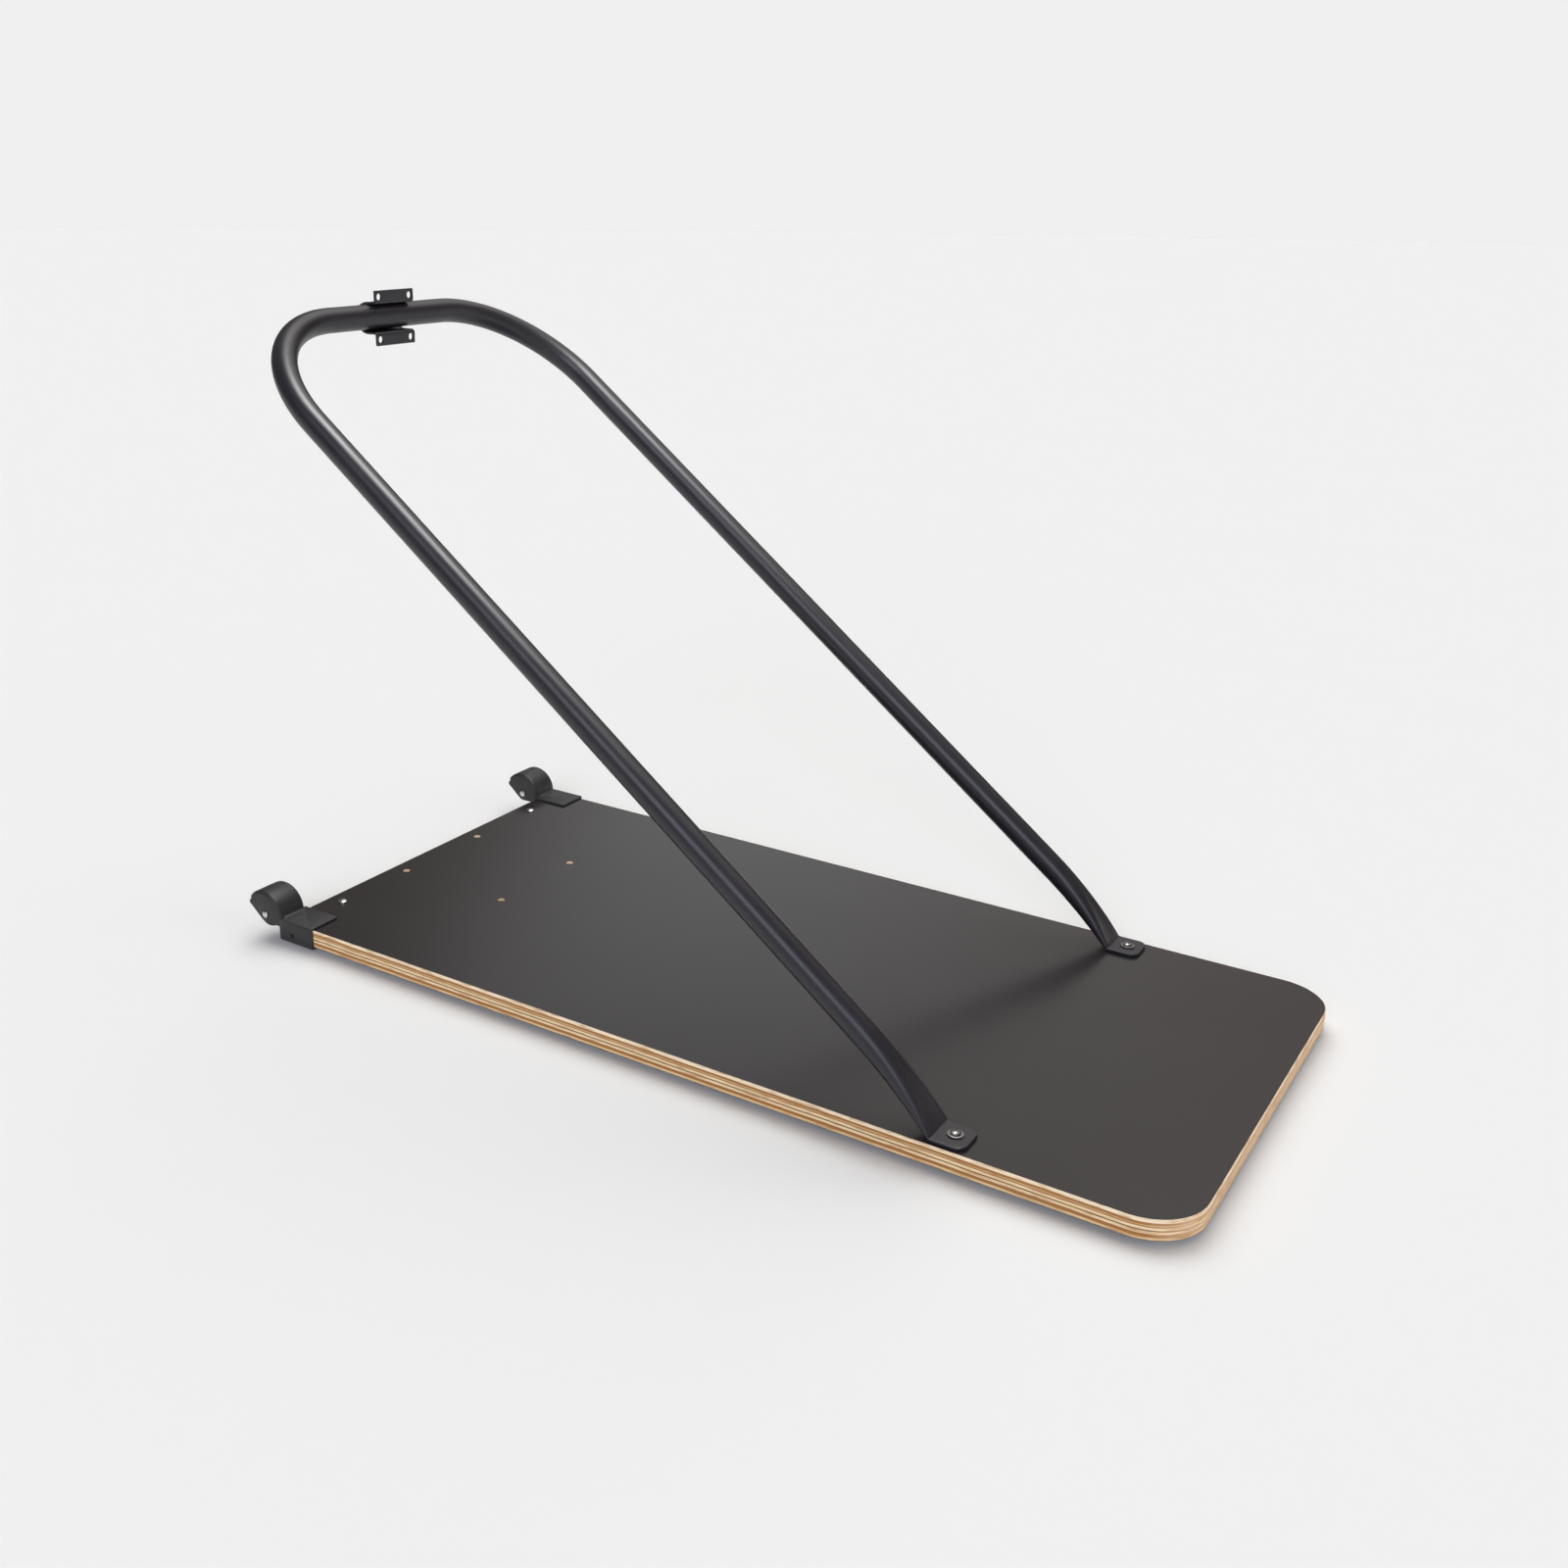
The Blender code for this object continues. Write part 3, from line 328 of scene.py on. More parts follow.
fibres = grain.outputs["Fac"]
fleck = add(tree, "MapRange", {"Value": fibres, "From Min": FLECK_LIMITS[0], "From Max": FLECK_LIMITS[1],
                               "To Max": FLECK_SHARE})
surface(tree, {"Base Color": blend(tree, fleck.outputs[0], cut_tone, FLECK_TONE), "Roughness": 0.62,
               "Normal": relief(tree, fibres, 0.3, 0.0003)})


def punch(form, centre, across, along, radius, margin):
    """Opens a round hole in a flat sheet: a square is cut round it and its inner edge drawn to a circle."""
    for direction in (across, along):
        for reach in (-margin, margin):
            bmesh.ops.bisect_plane(form, geom=form.verts[:] + form.edges[:] + form.faces[:], dist=MERGE,
                                   plane_co=centre + direction * reach, plane_no=direction)
    square = min(form.faces, key=lambda face: (face.calc_center_median() - centre).length)
    bmesh.ops.bisect_edges(form, edges=square.edges[:], cuts=HOLE_SIDES // 4 - 1)
    bmesh.ops.inset_individual(form, faces=[square], thickness=margin / 20, use_even_offset=True)
    for vert in square.verts:
        vert.co = centre + (vert.co - centre).normalized() * radius
    bmesh.ops.delete(form, geom=[square], context="FACES_ONLY")


def piece(name, form, finishes, slot, *nodes, crease=CREASE):
    """Makes a finished form an object of the stand, on the body of the CAD nodes that it stands for."""
    mesh = bpy.data.meshes.new(name)
    form.to_mesh(mesh)
    form.free()
    mesh.shade_smooth()
    mesh.set_sharp_from_angle(angle=math.radians(crease))
    for finish in finishes:
        mesh.materials.append(finish)
    made = bpy.data.objects.new(name, mesh)
    bpy.context.scene.collection.objects.link(made)
    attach(made, frame["nodes"][nodes[0]]["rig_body"])
    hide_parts(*nodes)
    return made


board_size = board_high - board_low
board_middle = (board_low + board_high) / 2
form = bmesh.new()
bmesh.ops.create_grid(form, x_segments=1, y_segments=1, size=0.5)
bmesh.ops.scale(form, vec=(board_size.x, board_size.y, 1), verts=form.verts)
bmesh.ops.translate(form, vec=(board_middle.x, board_middle.y, board_high.z), verts=form.verts)
user_corners = [vert for vert in form.verts if vert.co.y < board_middle.y]
bmesh.ops.bevel(form, geom=user_corners, offset=CORNER_RADIUS, segments=CORNER_SEGMENTS, profile=0.5,
                affect="VERTICES", material=-1)
for number in (1, 2, 3, 4):
    low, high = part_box("machine_nut_%d" % number)
    hole = Vector(((low.x + high.x) / 2, (low.y + high.y) / 2, board_high.z))
    punch(form, hole, Vector((1, 0, 0)), Vector((0, 1, 0)), MACHINE_HOLE_RADIUS,
          MACHINE_HOLE_MARGIN * MACHINE_HOLE_RADIUS)
bmesh.ops.solidify(form, geom=form.faces[:], thickness=board_size.z)
bmesh.ops.recalc_face_normals(form, faces=form.faces)
for face in form.faces:
    face.material_index = 0 if abs(face.normal.z) > 0.9 else 1
inner = CORNER_RADIUS / 4
edge_of_board = [edge for edge in form.edges if edge.calc_face_angle() > math.radians(60)
                 and any(abs(vert.co.x) > board_high.x - inner or vert.co.y < board_low.y + inner
                         or vert.co.y > board_high.y - inner for vert in edge.verts)]
bmesh.ops.bevel(form, geom=edge_of_board, offset=ARRIS, segments=2, profile=0.5, affect="EDGES", material=1)
# The low crease angle keeps the arris from bending the sheen of the flat film beside it.
deck_sheet = piece("deck_sheet", form, (phenolic_film, birch_ply), "film_faced_plywood", "deck_board",
                   crease=FILM_CREASE)

# The gloss box is kept off the film, where it would show from above as a white patch.
without_glare = bpy.data.collections.new("without_glare")
without_glare.objects.link(deck_sheet)
without_glare.collection_objects[0].light_linking.link_state = "EXCLUDE"
gloss_box.light_linking.receiver_collection = without_glare


# Tee nuts: drawn and zinc-plated steel, a threaded barrel with a round flange, pulled up into the underside
# of the deck.  Four wait for the trainer's bolts, and two hold the bolts of the tube's tabs.
TEE_NUTS = (("machine_nut_1", 0.0047), ("machine_nut_2", 0.0047), ("machine_nut_3", 0.0047),
            ("machine_nut_4", 0.0047), ("tab_nut_left", 0.0045), ("tab_nut_right", 0.0045))
TEE_NUT_EDGE = 0.0003
FLANGE_THICKNESS = 0.0015
BARREL_WALL = 0.0012
THREAD_PITCH = 0.00125
THREAD_DEPTH = 0.0005
TURNED_STEPS = 32
TURNED_MERGE = 0.000001

# Bright zinc: plated steel, silver with a slight yellow, mirror-like under a haze of fine scuffs.
bright_zinc, tree, place = new_finish("bright_zinc_plate")
scuffs = noise(tree, place, 1.2, 5.0)
surface(tree, {"Base Color": blend(tree, scuffs, "c9c8c4", "e6e5e0"), "Metallic": 1.0,
               "Roughness": between(tree, scuffs, 0.36, 0.20),
               "Normal": relief(tree, scuffs, 0.08, 0.0002)})


def lathe(profile, steps=TURNED_STEPS):
    """A turned form: an outline of (radius, height) points spun about the upright axis."""
    form = bmesh.new()
    points = [form.verts.new((radius, 0, height)) for radius, height in profile]
    edges = [form.edges.new(pair) for pair in zip(points, points[1:])]
    bmesh.ops.spin(form, geom=points + edges, cent=(0, 0, 0), axis=(0, 0, 1), dvec=(0, 0, 0),
                   angle=2 * math.pi, steps=steps, use_merge=True, use_duplicate=False)
    bmesh.ops.remove_doubles(form, verts=form.verts, dist=TURNED_MERGE)
    bmesh.ops.recalc_face_normals(form, faces=form.faces)
    return form


def soften(form, radius, segments=2, angle=50):
    """Rounds every edge that turns by more than an angle in degrees."""
    sharp = [edge for edge in form.edges
             if edge.is_manifold and edge.calc_face_angle() > math.radians(angle)]
    bmesh.ops.bevel(form, geom=sharp, offset=radius, segments=segments, profile=0.5, affect="EDGES",
                    material=-1, clamp_overlap=True)


def middle_of(node):
    """The middle of a CAD node's box."""
    low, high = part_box(node)
    return (low + high) / 2


def place_over(form, node, height):
    """Moves an upright form over the middle of a CAD node, with its origin at a height."""
    centre = middle_of(node)
    bmesh.ops.translate(form, vec=(centre.x, centre.y, height), verts=form.verts)


for name, barrel in TEE_NUTS:
    low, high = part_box(name)
    bore = barrel - BARREL_WALL
    length = high.z - low.z
    flange = (high.x - low.x) / 2
    profile = [(barrel, length), (barrel, FLANGE_THICKNESS), (flange, FLANGE_THICKNESS), (flange, 0),
               (bore, 0)]
    for i in range(1, int(length / THREAD_PITCH)):
        profile.append((bore + THREAD_DEPTH, (i - 0.5) * THREAD_PITCH))
        profile.append((bore, i * THREAD_PITCH))
    profile += [(bore, length), (barrel, length)]
    form = lathe(profile)
    soften(form, TEE_NUT_EDGE, angle=70)
    place_over(form, name, low.z)
    piece("tee_nut_" + name.replace("_nut", ""), form, (bright_zinc,), "bright_zinc", name)


# Feet: six moulded rubber pucks that keep the deck clear of the floor.  The two at the wheel end hang on
# bolts through the deck, with their nuts in the pucks' recesses, and the other four on wood screws.
FOOT_DRAFT = 0.0012
FOOT_EDGE = 0.0008
FOOT_HOLE_RADIUS = 0.0033
FOOT_RECESS_RADIUS = 0.0072
FOOT_RECESS_DEPTH = 0.0042
BOLT_RADIUS = 0.0030
BOLT_RIM = 0.0011
BOLT_EDGE = 0.00025
BOLT_HEAD_HEIGHT = 0.0033
BOLT_RECESS_DEPTH = 0.0016
FOOT_BOLT_TURNS = (("left", -15), ("right", 55))
NUT_EDGE = 0.0003
SCREW_SHANK_RADIUS = 0.0021
SCREW_EDGE = 0.0002
SCREW_HEAD_HEIGHT = 0.0026
SCREW_RIM = 0.55 * SCREW_HEAD_HEIGHT
SCREW_RECESS_DEPTH = 0.0014
HEAD_STEPS = 48
RECESS_SHARE = 0.46
# A cross recess is pressed twice: share of its reach, half angle of its wings in degrees, share of depth.
RECESS_PRESSES = ((1.0, 13, 0.6), (0.45, 45, 0.4))

# Foot rubber: dull black with a bloom of grey dust.
foot_rubber, tree, place = new_finish("moulded_foot_rubber")
surface(tree, {"Base Color": blend(tree, noise(tree, place, 6, 5.0), "191919", "2b2a29"), "Roughness": 0.78,
               "Normal": relief(tree, noise(tree, place, 0.8, 2.0), 0.2, 0.0002)})


def dome(radius, rim, crown, rings=6):
    """The outline of a round head, from its crown on the axis down to its rim."""
    sphere = (radius ** 2 + (crown - rim) ** 2) / (2 * (crown - rim))
    half = math.asin(radius / sphere)
    turns = [half * i / rings for i in range(rings + 1)]
    return [(sphere * math.sin(turn), crown - sphere + sphere * math.cos(turn)) for turn in turns]


def press_cross(form, reach, depth):
    """Presses a cross recess into an upright turned head: four wings, then a deeper middle."""
    for reach_share, half_angle, depth_share in RECESS_PRESSES:
        pressed = []
        for face in form.faces:
            centre = face.calc_center_median()
            turn = math.degrees(math.atan2(centre.y, centre.x)) % 90
            within = centre.xy.length < reach * reach_share and min(turn, 90 - turn) <= half_angle
            if within and face.normal.z > 0.5:
                pressed.append(face)
        bmesh.ops.inset_region(form, faces=pressed, thickness=reach / 30, depth=-depth * depth_share,
                               use_even_offset=True)


def rotate(form, degrees, axis):
    """Turns a form about an axis through its origin."""
    turn = Matrix.Rotation(math.radians(degrees), 3, axis)
    bmesh.ops.rotate(form, cent=(0, 0, 0), matrix=turn, verts=form.verts)


def bolt(name, node, turn, finish):
    """A round-headed bolt with a cross recess, turned about its own axis by an angle in degrees."""
    low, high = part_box(node)
    head = (high.x - low.x) / 2
    grip = high.z - low.z - BOLT_HEAD_HEIGHT
    form = lathe(dome(head, BOLT_RIM, BOLT_HEAD_HEIGHT)
                 + [(head, 0), (BOLT_RADIUS, 0), (BOLT_RADIUS, -grip), (0, -grip)], steps=HEAD_STEPS)
    soften(form, BOLT_EDGE)
    press_cross(form, head * RECESS_SHARE, BOLT_RECESS_DEPTH)
    rotate(form, turn, "Z")
    place_over(form, node, high.z - BOLT_HEAD_HEIGHT)
    piece(name, form, (finish,), "bright_zinc", node)


for label, turn in FOOT_BOLT_TURNS:
    for spot in ("wheel_end", "middle", "user_end"):
        name = "foot_%s_%s" % (spot, label)
        low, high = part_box(name)
        reach = (high.x - low.x) / 2
        form = lathe([(FOOT_HOLE_RADIUS, high.z), (reach, high.z), (reach - FOOT_DRAFT, 0),
                      (FOOT_RECESS_RADIUS, 0), (FOOT_RECESS_RADIUS, FOOT_RECESS_DEPTH),
                      (FOOT_HOLE_RADIUS, FOOT_RECESS_DEPTH), (FOOT_HOLE_RADIUS, high.z)], steps=HEAD_STEPS)
        soften(form, FOOT_EDGE, segments=3)
        place_over(form, name, 0)
        piece("puck_%s_%s" % (spot, label), form, (foot_rubber,), "foot_rubber", name)

    bolt("through_bolt_" + label, "foot_bolt_" + label, turn, bright_zinc)

    name = "foot_nut_" + label
    low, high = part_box(name)
    corner = max(high.x - low.x, high.y - low.y) / 2
    height = high.z - low.z
    form = lathe([(corner, height), (corner, 0), (BOLT_RADIUS, 0), (BOLT_RADIUS, height), (corner, height)],
                 steps=6)
    rotate(form, 90, "Z")
    soften(form, NUT_EDGE, angle=40)
    place_over(form, name, low.z)
    piece("hex_nut_" + label, form, (bright_zinc,), "bright_zinc", name)

    for spot in ("middle", "user_end"):
        name = "foot_screw_%s_%s" % (spot, label)
        low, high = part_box(name)
        head = (high.x - low.x) / 2
        tip = low.z - high.z + SCREW_HEAD_HEIGHT
        form = lathe(dome(head, SCREW_RIM, SCREW_HEAD_HEIGHT)
                     + [(head, 0), (SCREW_SHANK_RADIUS, 0), (SCREW_SHANK_RADIUS, tip + SCREW_SHANK_RADIUS),
                        (0, tip)], steps=HEAD_STEPS)
        soften(form, SCREW_EDGE)
        press_cross(form, head * RECESS_SHARE, SCREW_RECESS_DEPTH)
        rotate(form, 180, "X")
        place_over(form, name, low.z + SCREW_HEAD_HEIGHT)
        piece("puck_screw_%s_%s" % (spot, label), form, (bright_zinc,), "bright_zinc", name)


# Support tube: one length of round steel tube, drawn round a former into a U and leant over the wheel end.
# Its ends are crushed flat in a press, folded level with the deck and drilled, and it is powder coated; the
# tabs' holes are not drawn.
TUBE_RADIUS = 0.01588
TUBE_FACETS = 64
CROSSBAR_BEND_RADIUS = 0.165
LOWER_BEND_RADIUS = 0.550
LOWER_BEND_TURN = math.radians(13)
FOLD_RADIUS = 0.006
CRUSH_LENGTH = 0.145
CRUSH_DENT = 0.0016
TAB_BOLT_FROM_FOLD = 0.020
TAB_LENGTH = 0.039
TAB_HALF_WIDTH = 0.0238
TAB_HALF_THICKNESS = 0.002
TAB_CORNER_RADIUS = 0.012
TAB_ROUNDNESS = 0.45
TAB_SLIT_WALL = 0.0014
BEND_STEPS = 40
CRUSH_STEPS = 48
FOLD_STEPS = 12

# Satin powder coat: black, baked from powder, with a soft sheen broken by an orange peel of about 1.5 mm.
powder_coat, tree, place = new_finish("satin_black_powder_coat")
flow = noise(tree, place, 60, 3.0)
surface(tree, {"Base Color": blend(tree, flow, "1c1a20", "26242a"),
               "Roughness": between(tree, flow, 0.33, 0.41),
               "Normal": relief(tree, noise(tree, place, 1.5, 2.0), 0.10, 0.0003)})

tube_low, tube_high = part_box("support_tube")
leg_x = middle_of("tab_bolt_right").x
fold_y = middle_of("tab_bolt_right").y + TAB_BOLT_FROM_FOLD
tab_z = tube_low.z + TAB_HALF_THICKNESS
crossbar = Vector((0, tube_high.y - TUBE_RADIUS, tube_high.z - TUBE_RADIUS))
run = crossbar - Vector((0, fold_y, tab_z))
leg_angle = (math.atan2(run.z, run.y)
             - math.asin(LOWER_BEND_RADIUS * (1 - math.cos(LOWER_BEND_TURN)) / run.length))
fold_angle = leg_angle + LOWER_BEND_TURN


def leg_section(y, z, angle, half_width, half_height, dent=0.0, roundness=1.0):
    """A cut through the right leg: centre, width and height directions, half of each, dent, side form."""
    return (Vector((leg_x, y, z)), Vector((1, 0, 0)), Vector((0, -math.sin(angle), math.cos(angle))),
            half_width, half_height, dent, roundness)


def pressed_round(share, half_width, half_height, roundness):
    """A point at a share of the way round a flattened tube: flats between half circles, squarer below 1."""
    flat = half_width - half_height
    quarter = math.pi * half_height / 2
    way = (share % 1.0) * (4 * quarter + 4 * flat)
    side = 1 if way <= quarter + flat or way >= 3 * quarter + 3 * flat else -1
    level = 1 if way <= 2 * quarter + 2 * flat else -1
    from_side = min(abs(way - turn * (2 * quarter + 2 * flat)) for turn in (0, 1, 2))
    if from_side <= quarter:
        angle = from_side / half_height
        return (side * (flat + half_height * max(0.0, math.cos(angle)) ** roundness),
                level * half_height * math.sin(angle) ** roundness)
    return side * (flat - (from_side - quarter)), level * half_height


# From the middle of the crossbar, round the bend, down the leg, through the crush and the fold, to the
# tab's end.
up = Vector((0, math.cos(leg_angle), math.sin(leg_angle)))
square_to_leg = Vector((0, -math.sin(leg_angle), math.cos(leg_angle)))
bend_middle = Vector((leg_x - CROSSBAR_BEND_RADIUS, crossbar.y, crossbar.z)) - up * CROSSBAR_BEND_RADIUS
sections = [(crossbar, up, square_to_leg, TUBE_RADIUS, TUBE_RADIUS, 0.0, 1.0)]
for i in range(BEND_STEPS + 1):
    angle = math.pi / 2 * (1 - i / BEND_STEPS)
    out = Vector((1, 0, 0)) * math.cos(angle) + up * math.sin(angle)
    sections.append((bend_middle + out * CROSSBAR_BEND_RADIUS, out, square_to_leg, TUBE_RADIUS, TUBE_RADIUS,
                     0.0, 1.0))
bend_length = LOWER_BEND_RADIUS * LOWER_BEND_TURN
for i in range(CRUSH_STEPS, -1, -1):
    reach = CRUSH_LENGTH * i / CRUSH_STEPS
    bent = min(reach, bend_length)
    angle = fold_angle - bent / LOWER_BEND_RADIUS
    opening = 1 - (1 - reach / CRUSH_LENGTH) ** 2
    sections.append(leg_section(
        fold_y + LOWER_BEND_RADIUS * (math.sin(fold_angle) - math.sin(angle)) + up.y * (reach - bent),
        tab_z + LOWER_BEND_RADIUS * (math.cos(angle) - math.cos(fold_angle)) + up.z * (reach - bent), angle,
        TAB_HALF_WIDTH + (TUBE_RADIUS - TAB_HALF_WIDTH) * opening,
        TAB_HALF_THICKNESS + (TUBE_RADIUS - TAB_HALF_THICKNESS) * opening,
        CRUSH_DENT * math.sin(math.pi * opening)))
tangent = FOLD_RADIUS * math.tan(fold_angle / 2)
for i in range(FOLD_STEPS - 1, -1, -1):
    angle = fold_angle * i / FOLD_STEPS
    sections.append(leg_section(
        fold_y - tangent + FOLD_RADIUS * math.sin(angle),
        tab_z + FOLD_RADIUS * (1 - math.cos(angle)), angle,
        TAB_HALF_WIDTH, TAB_HALF_THICKNESS, 0.0, 1 - (1 - TAB_ROUNDNESS) * (1 - i / FOLD_STEPS)))
for i in range(FOLD_STEPS + 1):
    corner = math.pi / 2 * i / FOLD_STEPS
    sections.append(leg_section(
        fold_y - TAB_LENGTH + TAB_CORNER_RADIUS * (1 - math.sin(corner)), tab_z, 0.0,
        TAB_HALF_WIDTH - TAB_CORNER_RADIUS * (1 - math.cos(corner)),
        TAB_HALF_THICKNESS, 0.0, TAB_ROUNDNESS))

form = bmesh.new()
around = form.verts.layers.float.new("around")
ring = bmesh.ops.create_circle(form, segments=TUBE_FACETS, radius=TUBE_RADIUS)["verts"]
for vert in ring:
    vert[around] = math.atan2(vert.co.y, vert.co.x) / (2 * math.pi)
edges = form.edges[:]
for number, (centre, wide, high, half_width, half_height, dent, roundness) in enumerate(sections):
    if number:
        grown = bmesh.ops.extrude_edge_only(form, edges=edges)["geom"]
        ring = [item for item in grown if isinstance(item, bmesh.types.BMVert)]
        edges = [item for item in grown if isinstance(item, bmesh.types.BMEdge)]
    for vert in ring:
        reach, rise = pressed_round(vert[around], half_width, half_height, roundness)
        if rise > 0:
            rise -= dent * max(0.0, 1 - (reach / half_width) ** 2) ** 2
        vert.co = centre + wide * reach + high * rise
tab_end = bmesh.ops.contextual_create(form, geom=edges)["faces"]
bmesh.ops.inset_region(form, faces=tab_end, thickness=TAB_SLIT_WALL, depth=0.0, use_even_offset=True)
bmesh.ops.translate(form, vec=(0, TAB_SLIT_WALL, 0), verts=tab_end[0].verts[:])
bmesh.ops.mirror(form, geom=form.verts[:] + form.edges[:] + form.faces[:], axis="X", merge_dist=MERGE)
bmesh.ops.recalc_face_normals(form, faces=form.faces)
piece("bent_tube", form, (powder_coat,), "black_powder_coat", "support_tube")


# Tab fastenings: a plain washer and a cross-recessed bolt on each tab, both of zinc-plated steel.  The bolt
# is screwed down through the tab and the deck into the tee nut.
WASHER_HOLE_RADIUS = 0.0033
WASHER_EDGE = 0.0003
TAB_BOLT_TURNS = (("left", -9), ("right", 33))

# Dull zinc: plated in the barrel, grey and hazy, brighter where the parts tumbled against each other.
dull_zinc, tree, place = new_finish("dull_zinc_plate")
tumbling = noise(tree, place, 1.6, 5.0)
surface(tree, {"Base Color": blend(tree, tumbling, "6f6f6e", "8e8d8b"), "Metallic": 1.0,
               "Roughness": between(tree, tumbling, 0.46, 0.34)})

for label, turn in TAB_BOLT_TURNS:
    name = "tab_washer_" + label
    low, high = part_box(name)
    reach = (high.x - low.x) / 2
    form = lathe([(WASHER_HOLE_RADIUS, high.z), (reach, high.z), (reach, low.z),
                  (WASHER_HOLE_RADIUS, low.z), (WASHER_HOLE_RADIUS, high.z)], steps=HEAD_STEPS)
    soften(form, WASHER_EDGE)
    place_over(form, name, 0)
    piece("plain_washer_" + label, form, (dull_zinc,), "bright_zinc", name)
    bolt("cross_head_bolt_" + label, "tab_bolt_" + label, turn, dull_zinc)


# Bracket: a strip of 3 mm steel bent round the back of the crossbar, its ends turned out into two drilled
# ears that the trainer's column is bolted to.  It is powder coated like the tube.
STRAP_THICKNESS = 0.003
STRAP_BEND_RADIUS = 0.0015
STRAP_EDGE = 0.0004
EAR_HOLE_RADIUS = 0.0046
EAR_HOLE_MARGIN = 1.06
EAR_HOLE_INSET = (0.0075, 0.008)
EAR_CORNER_RADIUS = 0.0015

strap_low, strap_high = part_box("machine_bracket")
strap_middle = middle_of("machine_bracket")
bore = strap_high.y - crossbar.y - STRAP_THICKNESS
form = bmesh.new()
first = form.verts.new((strap_low.x, crossbar.y, strap_middle.z - bore))
bmesh.ops.spin(form, geom=[first], cent=(0, crossbar.y, strap_middle.z), axis=(1, 0, 0), dvec=(0, 0, 0),
               angle=math.pi, steps=BEND_STEPS, use_merge=False, use_duplicate=False)
for end in [vert for vert in form.verts if len(vert.link_edges) == 1]:
    lip = bmesh.ops.extrude_vert_indiv(form, verts=[end])["verts"][0]
    lip.co.y = strap_low.y
    tip = bmesh.ops.extrude_vert_indiv(form, verts=[lip])["verts"][0]
    tip.co.z = strap_high.z if lip.co.z > strap_middle.z else strap_low.z
swept = bmesh.ops.extrude_edge_only(form, edges=form.edges[:])["geom"]
bmesh.ops.translate(form, vec=(strap_high.x - strap_low.x, 0, 0),
                    verts=[item for item in swept if isinstance(item, bmesh.types.BMVert)])
creases = [edge for edge in form.edges if len(edge.link_faces) == 2
           and edge.calc_face_angle() > math.radians(60)]
bmesh.ops.bevel(form, geom=creases, offset=STRAP_BEND_RADIUS + STRAP_THICKNESS, segments=8, profile=0.5,
                affect="EDGES", material=-1)
corners = [vert for vert in form.verts if len(vert.link_edges) == 2 and len(vert.link_faces) == 1]
bmesh.ops.bevel(form, geom=corners, offset=EAR_CORNER_RADIUS, segments=6, profile=0.5, affect="VERTICES",
                material=-1)
for x in (strap_low.x + EAR_HOLE_INSET[0], strap_high.x - EAR_HOLE_INSET[0]):
    for z in (strap_low.z + EAR_HOLE_INSET[1], strap_high.z - EAR_HOLE_INSET[1]):
        punch(form, Vector((x, strap_low.y, z)), Vector((1, 0, 0)), Vector((0, 0, 1)), EAR_HOLE_RADIUS,
              EAR_HOLE_MARGIN * EAR_HOLE_RADIUS)
bmesh.ops.recalc_face_normals(form, faces=form.faces)
ear = min(form.faces, key=lambda face: face.calc_center_median().y)
if ear.normal.y > 0:
    bmesh.ops.reverse_faces(form, faces=form.faces[:])
bmesh.ops.solidify(form, geom=form.faces[:], thickness=STRAP_THICKNESS)
bmesh.ops.recalc_face_normals(form, faces=form.faces)
soften(form, STRAP_EDGE)
piece("strap_bracket", form, (powder_coat,), "black_powder_coat", "machine_bracket")


# Wheels: a grey nylon hub with a black rubber tyre, on a headed steel axle through the hood's two cheeks.
# A nylon spacer fills the inner side, and a press-on cap holds the axle's end.
AXLE_RADIUS = 0.0030
AXLE_HEAD_HEIGHT = 0.0022
AXLE_HEAD_RIM = 0.0008
AXLE_EDGE = 0.0002
AXLE_CLEARANCE = 0.0003
CAP_CROWN = 0.0010
SPACER_EDGE = 0.0003
TYRE_THICKNESS = 0.0055
TYRE_SHOULDER = 0.0030
TYRE_GROOVE = 0.0008
RIM_LIP = 0.0030
HUB_RADIUS = 0.0070
HUB_DISH = 0.0035
HUB_EDGE = 0.0005
WHEEL_STEPS = 64
SIDES = (("left", -1), ("right", 1))

# Nylon: mid grey, faintly waxy, with a moulded matt skin.
grey_nylon, tree, place = new_finish("moulded_grey_nylon")
skin = noise(tree, place, 1.0, 3.0)
surface(tree, {"Base Color": blend(tree, skin, "5a5a5c", "68686a"), "Roughness": 0.48, "IOR": 1.53,
               "Normal": relief(tree, skin, 0.12, 0.0002)})

# Tyre rubber: black, with fine scratches from rolling and a little floor dust.
tyre_rubber, tree, place = new_finish("tyre_rubber")
surface(tree, {"Base Color": blend(tree, noise(tree, place, 5, 6.0), "161616", "2e2d2b"), "Roughness": 0.7,
               "Normal": relief(tree, noise(tree, place, 0.9, 3.0), 0.25, 0.0002)})


def on_axle(form, x, sign):
    """Turns an upright form to point away from the stand's middle, and slides it along the axle."""
    centre = middle_of("axle_right")
    rotate(form, sign * 90, "Y")
    bmesh.ops.translate(form, vec=(x, centre.y, centre.z), verts=form.verts)
    return form


